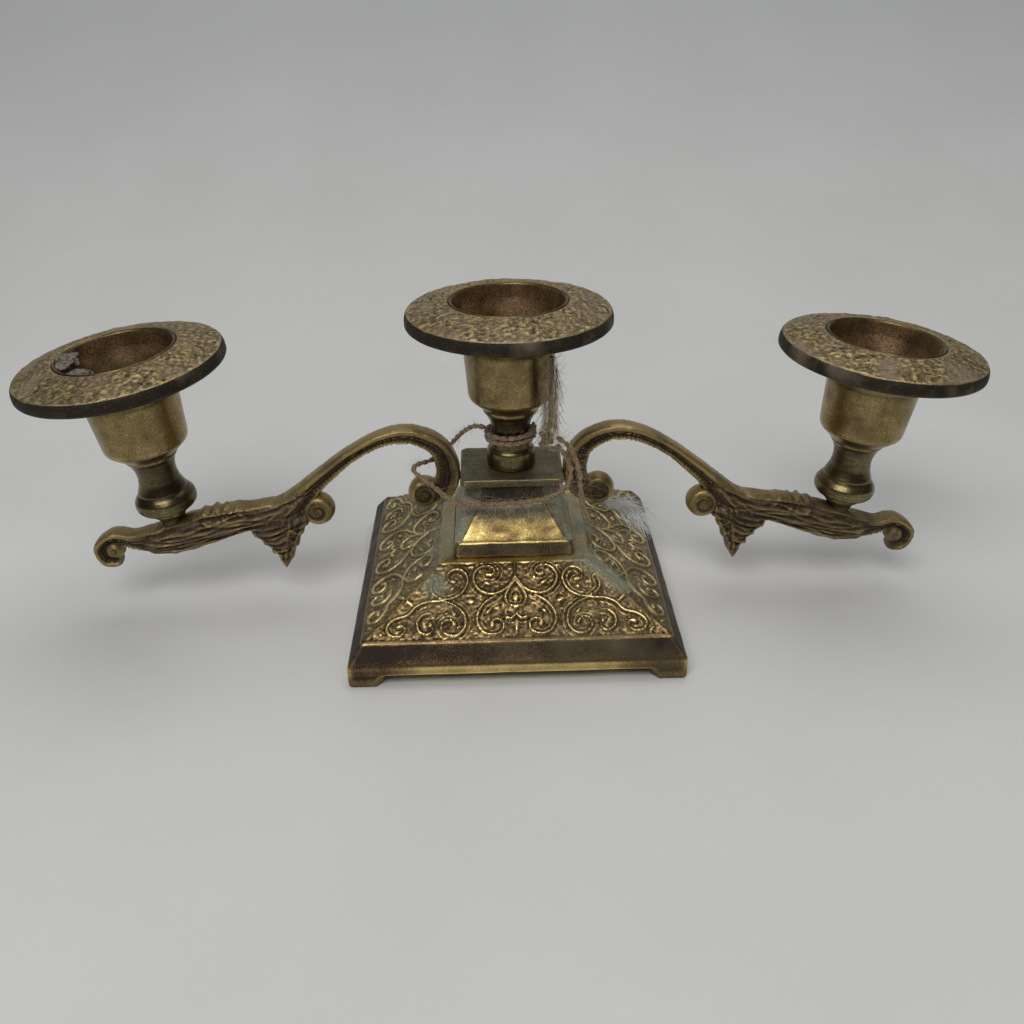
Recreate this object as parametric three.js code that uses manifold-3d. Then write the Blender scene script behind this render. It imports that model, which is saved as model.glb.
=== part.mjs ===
// Three-light tabletop candelabra in cast and turned brass, about 198 mm wide.
// Millimetres, +Z up, origin on the table under the centre of the base.
// X runs along the two arms and -Y is the front.
import * as THREE from "three";
import { mergeVertices } from "three/addons/utils/BufferGeometryUtils.js";
import Module from "manifold-3d";

const wasm = await Module();
wasm.setup();

// ---- Driving dimensions ----
// Base: a hollow square casting on four bracket feet.
const BASE_HALF = 34.1;
const RIM_HALF = 31.15;
const SKIRT_KINK_Z = 4.8;
const RIM_Z = 8.7;
const LEDGE_HALF = 15.4;
const LEDGE_Z = 17.5;
const BASE_WALL = 2.0;
const BASE_CORNER_R = 0.9;
const APRON_Z = 2.8;
const FOOT_LENGTH = 5.6;
const FOOT_COVE = 2.4;

// Pedestal: a plinth band under an eight-sided taper.
const PLINTH_HALF_X = 12.9;
const PLINTH_HALF_Y = 14.0;
const PLINTH_CHAMFER = 0.9;
const PLINTH_BAND = 3.2;
const BAND_TAPER = 0.6;
const PEDESTAL_HEIGHT = 9.8;
const PEDESTAL_WALL = 2.2;

// Hub: the middle of the crosspiece, a neck under a square plate.
const NECK_HALF_X = 10.3;
const NECK_HALF_Y = 7.9;
const NECK_CHAMFER = 3.8;
const NECK_HEIGHT = 3.6;
const PLATE_HALF_X = 10.9;
const PLATE_HALF_Y = 8.2;
const PLATE_CHAMFER = 0.8;
const PLATE_THICKNESS = 1.75;

// Arms: two S-scroll castings, drawn in their own plane from the hub's axis outwards.
const ARM_THICKNESS = 4.4;
const LEAF_THICKNESS = 6.8;
const ARM_BEVEL = 0.7;
const INNER_VOLUTE = { x: 18.8, z: 26.3, r: 3.5 };
const OUTER_VOLUTE = { x: 41.9, z: 22.3, r: 3.6 };
const TAIL_EYE = { x: 86.3, z: 12.9, r: 2.1 };
const SEAT = { x: 73.5, z: 23.0, r: 5.0, height: 6.0 };
const ARM_PIN_RADIUS = 0.9;
const ARM_PIN_LENGTH = 6.6;
const ARM_PIN_Z = 30.0;
const ARMS = [
  { name: "left", side: -1, reach: 0.4, raise: 2.0, swing: 1.6, lean: 6.3, forward: 2.3 },
  { name: "right", side: 1, reach: -0.6, raise: 0.2, swing: 0, lean: 6.2, forward: 0.4 },
];

// Turned stems, heights measured up from each stem's seat.
const STEM_HEIGHT = 13.1;
const STEM_FOOT_R = 4.3;
const STEM_TOP_R = 5.4;
const STEM_NECK_R = 4.1;
const STEM_NECK_AT = 8.8;
const BULB_HEIGHT = 4.2;
const CENTRE_BULB_R = 5.2;
const OUTER_BULB_R = 6.5;

// Candle cups: a turned socket that flares to a thin lip.
const CUP_FOOT_R = 5.9;
const CUP_CHAMFER = 2.3;
const CUP_LOW_R = 8.5;
const CUP_HIGH_R = 9.5;
const CUP_HEIGHT = 22.9;
const CUP_FLOOR = 3.9;
const SOCKET_R = 7.1;
const MOUTH_R = 11.25;
const LIP_WALL = 0.7;
const FLANGE_OVERLAP = 0.9;
const FLANGE_THICKNESS = 1.2;

// Drip pans: a thick ring with a low domed top.
const PAN_R = 20.92;
const PAN_TOP_R = 20.3;
const PAN_RIM = 2.9;
const PAN_DOME = 2.1;

// Fasteners and fits.
const TIE_ROD_R = 2.0;
const CUP_SCREW_R = 1.5;
const SCREW_HEAD_R = 3.0;
const SCREW_HEAD_HEIGHT = 1.7;
const SCREW_SLOT = 0.8;
const SCREW_GRIP = 4.6;
const NUT_ACROSS_CORNERS = 8.0;
const NUT_HEIGHT = 3.2;
const WASHER_R = 6.0;
const WASHER_THICKNESS = 1.0;
const FIT = 0.08;
const SEAT_GAP = 0.3;
const ROD_SPARE = 2.0;

// Twine tied round the centre stem.
const TWINE_R = 0.6;
const WRAP_AT = 7.1;

// ---- Heights that follow from them ----
const PEDESTAL_TOP_Z = LEDGE_Z + PEDESTAL_HEIGHT;
const PLATE_UNDER_Z = PEDESTAL_TOP_Z + NECK_HEIGHT;
const HUB_TOP_Z = PLATE_UNDER_Z + PLATE_THICKNESS;
const CUP_FOOT_AT = STEM_HEIGHT + SEAT_GAP;
const LIP_AT = CUP_FOOT_AT + CUP_HEIGHT;
const PAN_UNDER_AT = LIP_AT - PAN_RIM - PAN_DOME;
const FLANGE_TOP_AT = PAN_UNDER_AT - SEAT_GAP;
const CUP_FLOOR_AT = CUP_FOOT_AT + CUP_FLOOR;
const LIP_R = MOUTH_R + LIP_WALL;
const ROUND_SIDES = 28;
const PAN_SIDES = 36;

// ---- Solids ----
function solidOf(geometry) {
  const bare = geometry.index ? geometry.toNonIndexed() : geometry.clone();
  bare.deleteAttribute("normal");
  bare.deleteAttribute("uv");
  const merged = mergeVertices(bare, 1e-4);
  const mesh = new wasm.Mesh({
    numProp: 3,
    vertProperties: merged.attributes.position.array,
    triVerts: new Uint32Array(merged.index.array),
  });
  return new wasm.Manifold(mesh);
}

function geometryOf(solid) {
  const mesh = solid.getMesh();
  const geometry = new THREE.BufferGeometry();
  geometry.setAttribute("position", new THREE.BufferAttribute(mesh.vertProperties, 3));
  geometry.setIndex(new THREE.BufferAttribute(mesh.triVerts, 1));
  return geometry;
}

// A turned piece about +Z from [radius, height] pairs that start and end on the axis or close.
function turned(profile, sides = ROUND_SIDES) {
  const points = profile.map(([r, h]) => new THREE.Vector2(r, h));
  return new THREE.LatheGeometry(points, sides).rotateX(Math.PI / 2);
}

// A bored ring has no point on the axis, so its profile closes on itself.
function bored(profile, sides = ROUND_SIDES) {
  return turned([...profile, profile[0]], sides);
}

function rod(radius, from, to, sides = ROUND_SIDES) {
  return turned([[0, from], [radius, from], [radius, to], [0, to]], sides);
}

// A body with flat sides, lofted through rings of equal point count, lowest first.
function loft(rings) {
  const count = rings[0].length;
  const positions = [];
  const push = (a, b, c) => positions.push(...a.toArray(), ...b.toArray(), ...c.toArray());
  for (let level = 0; level + 1 < rings.length; level += 1) {
    for (let i = 0; i < count; i += 1) {
      const j = (i + 1) % count;
      push(rings[level][i], rings[level][j], rings[level + 1][j]);
      push(rings[level][i], rings[level + 1][j], rings[level + 1][i]);
    }
  }
  const bottom = rings[0];
  const top = rings[rings.length - 1];
  for (let i = 1; i + 1 < count; i += 1) {
    push(bottom[0], bottom[i + 1], bottom[i]);
    push(top[0], top[i], top[i + 1]);
  }
  const geometry = new THREE.BufferGeometry();
  geometry.setAttribute("position", new THREE.Float32BufferAttribute(positions, 3));
  return geometry;
}

// A rectangle with cut corners at height z, anticlockwise from the front left.
function chamferedRing(halfX, halfY, chamfer, z) {
  const quarter = [[-1, -1], [1, -1], [1, 1], [-1, 1]];
  return quarter.flatMap(([sx, sy]) => {
    const onX = new THREE.Vector3(sx * (halfX - chamfer), sy * halfY, z);
    const onY = new THREE.Vector3(sx * halfX, sy * (halfY - chamfer), z);
    return sx * sy > 0 ? [onY, onX] : [onX, onY];
  });
}

function material(color, roughness, metalness = 1) {
  return new THREE.MeshStandardMaterial({ color, roughness, metalness });
}

const candelabra = new THREE.Group();

function addPiece(parent, name, geometry, finish) {
  const piece = new THREE.Mesh(geometry, finish);
  piece.name = name;
  parent.add(piece);
  return piece;
}

const castBrass = material(0x7d6a3a, 0.5);
const turnedBrass = material(0x8a7646, 0.35);
const crustedBrass = material(0x6d6048, 0.7);
const steel = material(0x8a8d8f, 0.4);
const jute = material(0x9a7d58, 0.95, 0);

// ---- Base ----
function baseCasting() {
  const shell = solidOf(loft([
    chamferedRing(BASE_HALF, BASE_HALF, BASE_CORNER_R, 0),
    chamferedRing(BASE_HALF, BASE_HALF, BASE_CORNER_R, SKIRT_KINK_Z),
    chamferedRing(RIM_HALF, RIM_HALF, BASE_CORNER_R, RIM_Z),
    chamferedRing(LEDGE_HALF, LEDGE_HALF, BASE_CORNER_R, LEDGE_Z),
  ]));
  const inner = BASE_WALL;
  const hollow = solidOf(loft([
    chamferedRing(BASE_HALF - inner, BASE_HALF - inner, BASE_CORNER_R, -1),
    chamferedRing(BASE_HALF - inner, BASE_HALF - inner, BASE_CORNER_R, SKIRT_KINK_Z - inner / 2),
    chamferedRing(RIM_HALF - inner, RIM_HALF - inner, BASE_CORNER_R, RIM_Z - inner),
    chamferedRing(LEDGE_HALF - inner / 2, LEDGE_HALF - inner / 2, BASE_CORNER_R, LEDGE_Z - inner),
  ]));
  const footInside = BASE_HALF - FOOT_LENGTH;
  const span = new THREE.Shape();
  span.moveTo(-footInside, -1);
  span.lineTo(footInside, -1);
  span.lineTo(footInside, 0);
  span.quadraticCurveTo(footInside - FOOT_COVE, 0, footInside - FOOT_COVE, APRON_Z);
  span.lineTo(FOOT_COVE - footInside, APRON_Z);
  span.quadraticCurveTo(FOOT_COVE - footInside, 0, -footInside, 0);
  const reach = 2 * BASE_HALF + 2;
  const across = new THREE.ExtrudeGeometry(span, { depth: reach, bevelEnabled: false, curveSegments: 5 });
  across.translate(0, 0, -reach / 2).rotateX(Math.PI / 2);
  const alongX = across.clone().rotateZ(Math.PI / 2);
  const rodHole = rod(TIE_ROD_R + FIT, LEDGE_Z - BASE_WALL - 1, LEDGE_Z + 1);
  return shell.subtract(hollow).subtract(solidOf(across)).subtract(solidOf(alongX)).subtract(solidOf(rodHole));
}

function pedestalCasting() {
  const bandTop = LEDGE_Z + PLINTH_BAND;
  const outside = loft([
    chamferedRing(PLINTH_HALF_X, PLINTH_HALF_Y, PLINTH_CHAMFER, LEDGE_Z),
    chamferedRing(PLINTH_HALF_X - BAND_TAPER, PLINTH_HALF_Y - BAND_TAPER, PLINTH_CHAMFER, bandTop),
    chamferedRing(NECK_HALF_X, NECK_HALF_Y, NECK_CHAMFER, PEDESTAL_TOP_Z),
  ]);
  const wall = PEDESTAL_WALL;
  const inside = loft([
    chamferedRing(PLINTH_HALF_X - wall, PLINTH_HALF_Y - wall, PLINTH_CHAMFER, LEDGE_Z - 1),
    chamferedRing(PLINTH_HALF_X - wall, PLINTH_HALF_Y - wall, PLINTH_CHAMFER, bandTop - wall / 2),
    chamferedRing(NECK_HALF_X - wall, NECK_HALF_Y - wall, NECK_CHAMFER, PEDESTAL_TOP_Z - wall),
  ]);
  const bore = rod(TIE_ROD_R + FIT, LEDGE_Z - 2, PEDESTAL_TOP_Z + 1);
  return solidOf(outside).subtract(solidOf(inside)).subtract(solidOf(bore));
}

// ---- Crosspiece ----
function armPinGeometry(side, radius, spare) {
  const pin = rod(radius, -ARM_PIN_LENGTH / 2 - spare, ARM_PIN_LENGTH / 2 + spare, 16);
  pin.rotateY(Math.PI / 2);
  return pin.translate(side * (PLATE_HALF_X + SEAT_GAP / 2), 0, ARM_PIN_Z);
}

function hubCasting() {
  let hub = solidOf(loft([
    chamferedRing(NECK_HALF_X, NECK_HALF_Y, NECK_CHAMFER, PEDESTAL_TOP_Z),
    chamferedRing(NECK_HALF_X, NECK_HALF_Y, NECK_CHAMFER, PLATE_UNDER_Z),
    chamferedRing(PLATE_HALF_X, PLATE_HALF_Y, PLATE_CHAMFER, PLATE_UNDER_Z),
    chamferedRing(PLATE_HALF_X, PLATE_HALF_Y, PLATE_CHAMFER, HUB_TOP_Z),
  ]));
  hub = hub.subtract(solidOf(rod(TIE_ROD_R + FIT, PEDESTAL_TOP_Z - 1, HUB_TOP_Z + 1)));
  for (const arm of ARMS) {
    hub = hub.subtract(solidOf(armPinGeometry(arm.side, ARM_PIN_RADIUS + FIT, SEAT_GAP)));
  }
  return hub;
}

// A flat strip drawn along a smooth line of [x, z, half width] points, given as an outline.
function strip(points, steps) {
  const line = new THREE.CatmullRomCurve3(points.map(([x, z, half]) => new THREE.Vector3(x, z, half)));
  const above = [];
  const below = [];
  for (let i = 0; i <= steps; i += 1) {
    const at = line.getPoint(i / steps);
    const tangent = line.getTangent(i / steps);
    const length = Math.hypot(tangent.x, tangent.y);
    const nx = (-tangent.y / length) * at.z;
    const nz = (tangent.x / length) * at.z;
    above.push(new THREE.Vector2(at.x + nx, at.y + nz));
    below.unshift(new THREE.Vector2(at.x - nx, at.y - nz));
  }
  return new THREE.Shape([...above, ...below]);
}

// A closed outline through [x, z] points, with straight or with rounded sides.
function pointedOutline(points) {
  return new THREE.Shape(points.map(([x, z]) => new THREE.Vector2(x, z)));
}

function smoothOutline(points, steps) {
  const line = new THREE.CatmullRomCurve3(points.map(([x, z]) => new THREE.Vector3(x, z, 0)), true);
  const around = [];
  for (let i = 0; i < steps; i += 1) {
    const at = line.getPoint(i / steps);
    around.push(new THREE.Vector2(at.x, at.y));
  }
  return new THREE.Shape(around);
}

// An outline in the arm's plane given a thickness across it, with bevelled edges.
function plate(shape, thickness, bevel = ARM_BEVEL) {
  const settings = {
    depth: thickness - 2 * bevel,
    curveSegments: 6,
    bevelEnabled: true,
    bevelThickness: bevel,
    bevelSize: bevel,
    bevelOffset: -bevel,
    bevelSegments: 1,
  };
  const slab = new THREE.ExtrudeGeometry(shape, settings);
  return solidOf(slab.translate(0, 0, -settings.depth / 2).rotateX(Math.PI / 2));
}

function boss(centre, thickness) {
  const dome = turned([
    [0, -thickness / 2],
    [centre.r * 0.72, -thickness / 2],
    [centre.r, -thickness / 4],
    [centre.r, thickness / 4],
    [centre.r * 0.72, thickness / 2],
    [0, thickness / 2],
  ], 20);
  return solidOf(dome.rotateX(Math.PI / 2).translate(centre.x, 0, centre.z));
}

// The arm's cast shape in its own plane, before its seat is added.
function armScroll() {
  const arch = strip([
    [17.2, 25.2, 2.4],
    [14.3, 28.2, 2.6],
    [13.8, 32.6, 2.5],
    [16.0, 37.2, 2.1],
    [21.6, 39.7, 1.8],
    [27.5, 38.9, 1.6],
    [34.0, 35.4, 1.5],
    [40.0, 30.5, 1.8],
    [45.5, 25.6, 2.2],
  ], 24);
  const leaf = smoothOutline([
    [40.5, 27.5],
    [45.5, 27.2],
    [51.5, 23.4],
    [60.5, 23.2],
    [68.5, 21.6],
    [77.0, 18.3],
    [83.5, 16.6],
    [81.5, 12.8],
    [73.0, 11.8],
    [65.0, 14.4],
    [57.0, 17.4],
    [45.5, 18.6],
  ], 32);
  const drop = pointedOutline([
    [43.5, 21.0],
    [45.6, 17.2],
    [47.4, 12.0],
    [49.8, 7.6],
    [52.2, 11.2],
    [54.2, 13.9],
    [56.6, 16.2],
    [58.5, 19.0],
  ]);
  const tail = strip([
    [76.0, 15.0, 3.0],
    [82.0, 14.9, 1.9],
    [86.0, 15.7, 1.6],
    [89.2, 13.4, 1.5],
    [88.2, 10.4, 1.4],
    [85.4, 10.3, 1.2],
  ], 12);
  return plate(arch, ARM_THICKNESS)
    .add(plate(leaf, LEAF_THICKNESS))
    .add(plate(drop, ARM_THICKNESS, 0.5))
    .add(plate(tail, ARM_THICKNESS))
    .add(boss(INNER_VOLUTE, LEAF_THICKNESS - 1))
    .add(boss(OUTER_VOLUTE, LEAF_THICKNESS - 0.4))
    .add(boss(TAIL_EYE, ARM_THICKNESS));
}

// Carries a piece from the arm's own plane to its place: mirrored for the left arm, raised and swung.
function armPlacement(arm) {
  const pivot = PLATE_HALF_X + SEAT_GAP;
  const turn = THREE.MathUtils.degToRad;
  return new THREE.Matrix4()
    .makeTranslation(arm.side * pivot, 0, ARM_PIN_Z)
    .multiply(new THREE.Matrix4().makeRotationZ(arm.side * -turn(arm.swing)))
    .multiply(new THREE.Matrix4().makeRotationY(-arm.side * turn(arm.raise)))
    .multiply(new THREE.Matrix4().makeTranslation(-arm.side * pivot, 0, -ARM_PIN_Z));
}

// The cup's axis at an arm's seat: origin on the seat, +Z up through the cup.
function seatPlacement(arm) {
  const seatX = arm.side * (SEAT.x + arm.reach);
  const seat = new THREE.Vector3(seatX, 0, SEAT.z).applyMatrix4(armPlacement(arm));
  const turn = THREE.MathUtils.degToRad;
  return new THREE.Matrix4()
    .makeTranslation(seat.x, seat.y, seat.z)
    .multiply(new THREE.Matrix4().makeRotationX(turn(arm.forward)))
    .multiply(new THREE.Matrix4().makeRotationY(arm.side * turn(arm.lean)));
}

function armCasting(arm) {
  const scroll = geometryOf(armScroll());
  if (arm.side < 0) scroll.rotateZ(Math.PI);
  scroll.applyMatrix4(armPlacement(arm));
  const seat = seatPlacement(arm);
  const seatBlock = rod(SEAT.r, -SEAT.height, 0, 24).applyMatrix4(seat);
  const aboveSeat = rod(SEAT.r * 3, 0, SEAT.height * 2, 24).applyMatrix4(seat);
  const screwHole = rod(CUP_SCREW_R + FIT, -SCREW_GRIP - SEAT_GAP, 1, 24).applyMatrix4(seat);
  return solidOf(scroll)
    .add(solidOf(seatBlock))
    .subtract(solidOf(aboveSeat))
    .subtract(solidOf(screwHole))
    .subtract(solidOf(armPinGeometry(arm.side, ARM_PIN_RADIUS + FIT, SEAT_GAP)));
}

// ---- Candle holders: stem, cup and pan about one axis ----
function stemProfile(bulbR, boreR, foot) {
  return [
    [boreR, foot],
    [STEM_FOOT_R, foot],
    [bulbR * 0.93, foot + 0.7],
    [bulbR, foot + BULB_HEIGHT * 0.4],
    [bulbR * 0.97, foot + BULB_HEIGHT * 0.75],
    [(bulbR + STEM_NECK_R) / 2, BULB_HEIGHT + 1.2],
    [STEM_NECK_R + 0.2, STEM_NECK_AT - 2.0],
    [STEM_NECK_R, STEM_NECK_AT],
    [STEM_NECK_R + 0.2, STEM_NECK_AT + 1.8],
    [STEM_TOP_R - 0.6, STEM_HEIGHT - 1.2],
    [STEM_TOP_R, STEM_HEIGHT],
    [boreR, STEM_HEIGHT],
  ];
}

function cupProfile(boreR) {
  const flangeR = LIP_R + FLANGE_OVERLAP;
  const shoulder = FLANGE_TOP_AT - FLANGE_THICKNESS;
  return [
    [boreR, CUP_FOOT_AT],
    [CUP_FOOT_R, CUP_FOOT_AT],
    [CUP_LOW_R, CUP_FOOT_AT + CUP_CHAMFER],
    [CUP_HIGH_R - 0.2, shoulder - 5.5],
    [CUP_HIGH_R, shoulder - 3.2],
    [flangeR - 1.2, shoulder - 0.8],
    [flangeR, shoulder],
    [flangeR, FLANGE_TOP_AT],
    [LIP_R, FLANGE_TOP_AT],
    [LIP_R, LIP_AT],
    [MOUTH_R, LIP_AT],
    [MOUTH_R - 0.6, LIP_AT - 3.0],
    [CUP_HIGH_R - 1.2, shoulder - 2.4],
    [SOCKET_R + 0.2, shoulder - 6.5],
    [SOCKET_R, CUP_FLOOR_AT],
    [boreR, CUP_FLOOR_AT],
  ];
}

function panProfile() {
  const boreR = LIP_R + FIT;
  const edge = PAN_UNDER_AT + PAN_RIM;
  return [
    [boreR, PAN_UNDER_AT],
    [PAN_R - 0.4, PAN_UNDER_AT],
    [PAN_R, PAN_UNDER_AT + 0.4],
    [PAN_TOP_R + 0.2, edge - 0.5],
    [PAN_TOP_R - 0.3, edge],
    [PAN_TOP_R - 4.0, edge + PAN_DOME * 0.66],
    [boreR + 0.5, edge + PAN_DOME],
    [boreR, edge + PAN_DOME],
  ];
}

function cupScrew() {
  const under = CUP_FLOOR_AT + SEAT_GAP;
  const top = under + SCREW_HEAD_HEIGHT;
  const screw = turned([
    [0, -SCREW_GRIP],
    [CUP_SCREW_R, -SCREW_GRIP],
    [CUP_SCREW_R, under],
    [SCREW_HEAD_R, under],
    [SCREW_HEAD_R, top - 0.7],
    [SCREW_HEAD_R * 0.6, top],
    [0, top],
  ], 24);
  const slot = new THREE.BoxGeometry(2 * SCREW_HEAD_R + 1, SCREW_SLOT, SCREW_HEAD_HEIGHT);
  slot.translate(0, 0, top - SCREW_HEAD_HEIGHT / 2 + 0.8);
  return solidOf(screw).subtract(solidOf(slot));
}

function hexNut(from) {
  const blank = rod(NUT_ACROSS_CORNERS / 2, from, from + NUT_HEIGHT, 6);
  return solidOf(blank).subtract(solidOf(rod(TIE_ROD_R + FIT, from - 1, from + NUT_HEIGHT + 1)));
}

function addHolder(parent, name, bulbR, boreR, stemFoot) {
  addPiece(parent, `${name}_stem`, bored(stemProfile(bulbR, boreR, stemFoot)), turnedBrass);
  addPiece(parent, `${name}_cup`, bored(cupProfile(boreR), PAN_SIDES), turnedBrass);
  addPiece(parent, `${name}_drip_pan`, bored(panProfile(), PAN_SIDES), crustedBrass);
}

// ---- Twine ----
// A tube of even thickness along hand-laid points.
function twineAlong(points, steps) {
  const route = new THREE.CatmullRomCurve3(points.map((p) => new THREE.Vector3(...p)));
  const section = new THREE.Shape();
  section.absarc(0, 0, TWINE_R, 0, 2 * Math.PI);
  return new THREE.ExtrudeGeometry(section, { steps, curveSegments: 4, extrudePath: route });
}

// ---- Assembly ----
addPiece(candelabra, "base_casting", geometryOf(baseCasting()), castBrass);
addPiece(candelabra, "pedestal", geometryOf(pedestalCasting()), castBrass);
addPiece(candelabra, "crosspiece_hub", geometryOf(hubCasting()), castBrass);

for (const arm of ARMS) {
  addPiece(candelabra, `${arm.name}_arm`, geometryOf(armCasting(arm)), castBrass);
  addPiece(candelabra, `${arm.name}_arm_pin`, armPinGeometry(arm.side, ARM_PIN_RADIUS, 0), turnedBrass);
  const holder = new THREE.Group();
  holder.applyMatrix4(seatPlacement(arm));
  candelabra.add(holder);
  addHolder(holder, arm.name, OUTER_BULB_R, CUP_SCREW_R + FIT, SEAT_GAP);
  addPiece(holder, `${arm.name}_cup_screw`, geometryOf(cupScrew()), steel);
}

const centreHolder = new THREE.Group();
centreHolder.position.set(0, 0, HUB_TOP_Z);
candelabra.add(centreHolder);
addHolder(centreHolder, "centre", CENTRE_BULB_R, TIE_ROD_R + FIT, 0);
const cupNutAt = CUP_FLOOR_AT + SEAT_GAP;
addPiece(centreHolder, "centre_cup_nut", geometryOf(hexNut(cupNutAt)), steel);

const washerZ = LEDGE_Z - BASE_WALL - WASHER_THICKNESS;
const washer = bored([
  [TIE_ROD_R + FIT, washerZ],
  [WASHER_R, washerZ],
  [WASHER_R, washerZ + WASHER_THICKNESS],
  [TIE_ROD_R + FIT, washerZ + WASHER_THICKNESS],
]);
const baseNutZ = washerZ - NUT_HEIGHT;
const rodTopZ = HUB_TOP_Z + cupNutAt + NUT_HEIGHT + ROD_SPARE / 2;
addPiece(candelabra, "tie_rod", rod(TIE_ROD_R, baseNutZ - ROD_SPARE, rodTopZ), steel);
addPiece(candelabra, "base_washer", washer, steel);
addPiece(candelabra, "base_nut", geometryOf(hexNut(baseNutZ)), steel);

// The wrap stands for two turns of twine laid one above the other round the stem's neck.
const wrapR = STEM_NECK_R + 0.35 + TWINE_R;
const wrap = [];
for (let i = 0; i < 10; i += 1) {
  const angle = (2 * Math.PI * i) / 10;
  wrap.push([wrapR + TWINE_R * Math.cos(angle), WRAP_AT + 2 * TWINE_R * Math.sin(angle)]);
}
addPiece(centreHolder, "twine_wrap", bored(wrap, 24), jute);
const knot = turned([[0, -1.7], [1.3, -1.1], [1.8, 0], [1.3, 1.1], [0, 1.7]], 10);
addPiece(candelabra, "twine_knot", knot.translate(7.2, -4.4, 40.2), jute);
addPiece(candelabra, "twine_loop", twineAlong([
  [-5.5, -2.6, 42.4],
  [-8.0, -0.8, 41.8],
  [-10.6, 2.0, 39.0],
  [-13.4, 4.0, 35.2],
  [-17.0, 4.6, 31.8],
  [-20.3, 2.4, 31.6],
  [-20.9, -1.4, 32.2],
  [-18.9, -4.2, 31.4],
  [-16.2, -5.4, 29.8],
  [-13.4, -8.0, 28.4],
  [-10.2, -10.6, 28.5],
  [-5.0, -11.9, 29.0],
  [1.4, -12.0, 29.4],
  [7.0, -11.6, 30.0],
  [11.0, -10.0, 31.6],
  [12.2, -8.4, 34.6],
  [10.8, -6.2, 37.6],
  [9.4, -5.0, 39.0],
], 48), jute);
addPiece(candelabra, "twine_tail", twineAlong([
  [9.4, -5.4, 41.0],
  [12.2, -6.6, 38.8],
  [13.8, -8.8, 34.6],
  [14.2, -9.8, 30.2],
  [14.9, -9.8, 25.0],
], 10), jute);
addPiece(candelabra, "twine_strand", twineAlong([
  [7.4, -5.2, 42.4],
  [8.0, -6.8, 45.0],
  [7.9, -8.4, 50.0],
  [8.0, -9.6, 55.5],
  [7.9, -9.9, 60.2],
], 10), jute);

export default candelabra;
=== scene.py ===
"""A three-light table candelabra in tarnished brass, with a length of jute twine tied round it.

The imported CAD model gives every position. Each piece here is drawn in millimetres in the same frame
and rides on the CAD body that it belongs to.
"""

import math

import bmesh
import bpy
import numpy as np
from mathutils import Matrix, Vector
from mathutils.geometry import delaunay_2d_cdt


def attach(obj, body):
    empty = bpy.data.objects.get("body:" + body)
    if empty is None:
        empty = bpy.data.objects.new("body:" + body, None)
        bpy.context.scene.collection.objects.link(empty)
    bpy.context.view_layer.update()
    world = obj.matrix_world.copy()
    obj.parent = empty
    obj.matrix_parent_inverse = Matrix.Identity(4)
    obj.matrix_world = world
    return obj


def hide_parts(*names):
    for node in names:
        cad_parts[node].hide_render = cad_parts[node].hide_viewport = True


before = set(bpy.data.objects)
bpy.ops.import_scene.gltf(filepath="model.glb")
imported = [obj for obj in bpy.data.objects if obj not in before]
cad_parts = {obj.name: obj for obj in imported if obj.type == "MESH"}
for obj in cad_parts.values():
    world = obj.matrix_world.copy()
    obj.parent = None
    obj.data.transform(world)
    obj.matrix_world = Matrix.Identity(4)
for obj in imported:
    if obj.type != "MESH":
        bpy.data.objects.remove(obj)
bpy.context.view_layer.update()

MM = 0.001
chance = np.random.default_rng(11)


# ---- Sizes, in millimetres, as in the CAD part ----
BASE_HALF = 34.1
RIM_HALF = 31.15
SKIRT_KINK_Z = 4.8
RIM_Z = 8.7
LEDGE_HALF = 15.4
LEDGE_Z = 17.5
BASE_WALL = 2.0
BASE_CORNER = 0.9
APRON_Z = 2.8
FOOT_LENGTH = 5.6
FOOT_COVE = 2.4
ROD_HOLE_R = 2.08
PLINTH_HALF_X = 12.9
PLINTH_HALF_Y = 14.0
PLINTH_BAND = 3.2
BAND_TAPER = 0.6
NECK_HALF_X = 10.3
NECK_HALF_Y = 7.9
NECK_CHAMFER = 3.8
PLATE_HALF_X = 10.9
PLATE_HALF_Y = 8.2
PEDESTAL_TOP_Z = 27.3
PLATE_UNDER_Z = 30.9
HUB_TOP_Z = 32.65
ARM_PIN_X = 11.2
ARM_PIN_Z = 30.0
SEAT_X = 73.5
SEAT_Z = 23.0
CUP_FOOT_AT = 13.4
CUP_FLOOR_AT = 17.3
PAN_UNDER_AT = 31.3
LIP_AT = 36.3
MOUTH_R = 11.25
LIP_R = 11.95
SOCKET_R = 7.1
PAN_R = 20.92
PAN_RIM = 2.9
PAN_DOME = 2.1
WRAP_Z = 39.75
WRAP_R = 5.05
TWINE_R = 0.6
PLY_TURNS = 0.28  # turns of the two plies in each millimetre
NUT_ACROSS = 8.0
NUT_HEIGHT = 3.2
BASE_NUT_AT = 11.3
WASHER_AT = 14.5
WASHER_TOP = 15.45
WASHER_HOLE_R = 2.1
WASHER_R = 6.0
ROD_LOW = 9.3
ROD_HIGH = 54.45
ROD_PITCH = 0.8
WRAP_START = 0.3
WRAP_RISE = 1.25
THIRDS = (0, 2.094, 4.189)  # thirds of a turn in radians
AT_ONCE = 3000  # points measured together, to spare memory

ARMS = {
    "left": dict(side=-1, reach=0.4, raised=2.0, swing=1.6, lean=6.3, forward=2.3),
    "right": dict(side=1, reach=-0.6, raised=0.2, swing=0.0, lean=6.2, forward=0.4),
}


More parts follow.
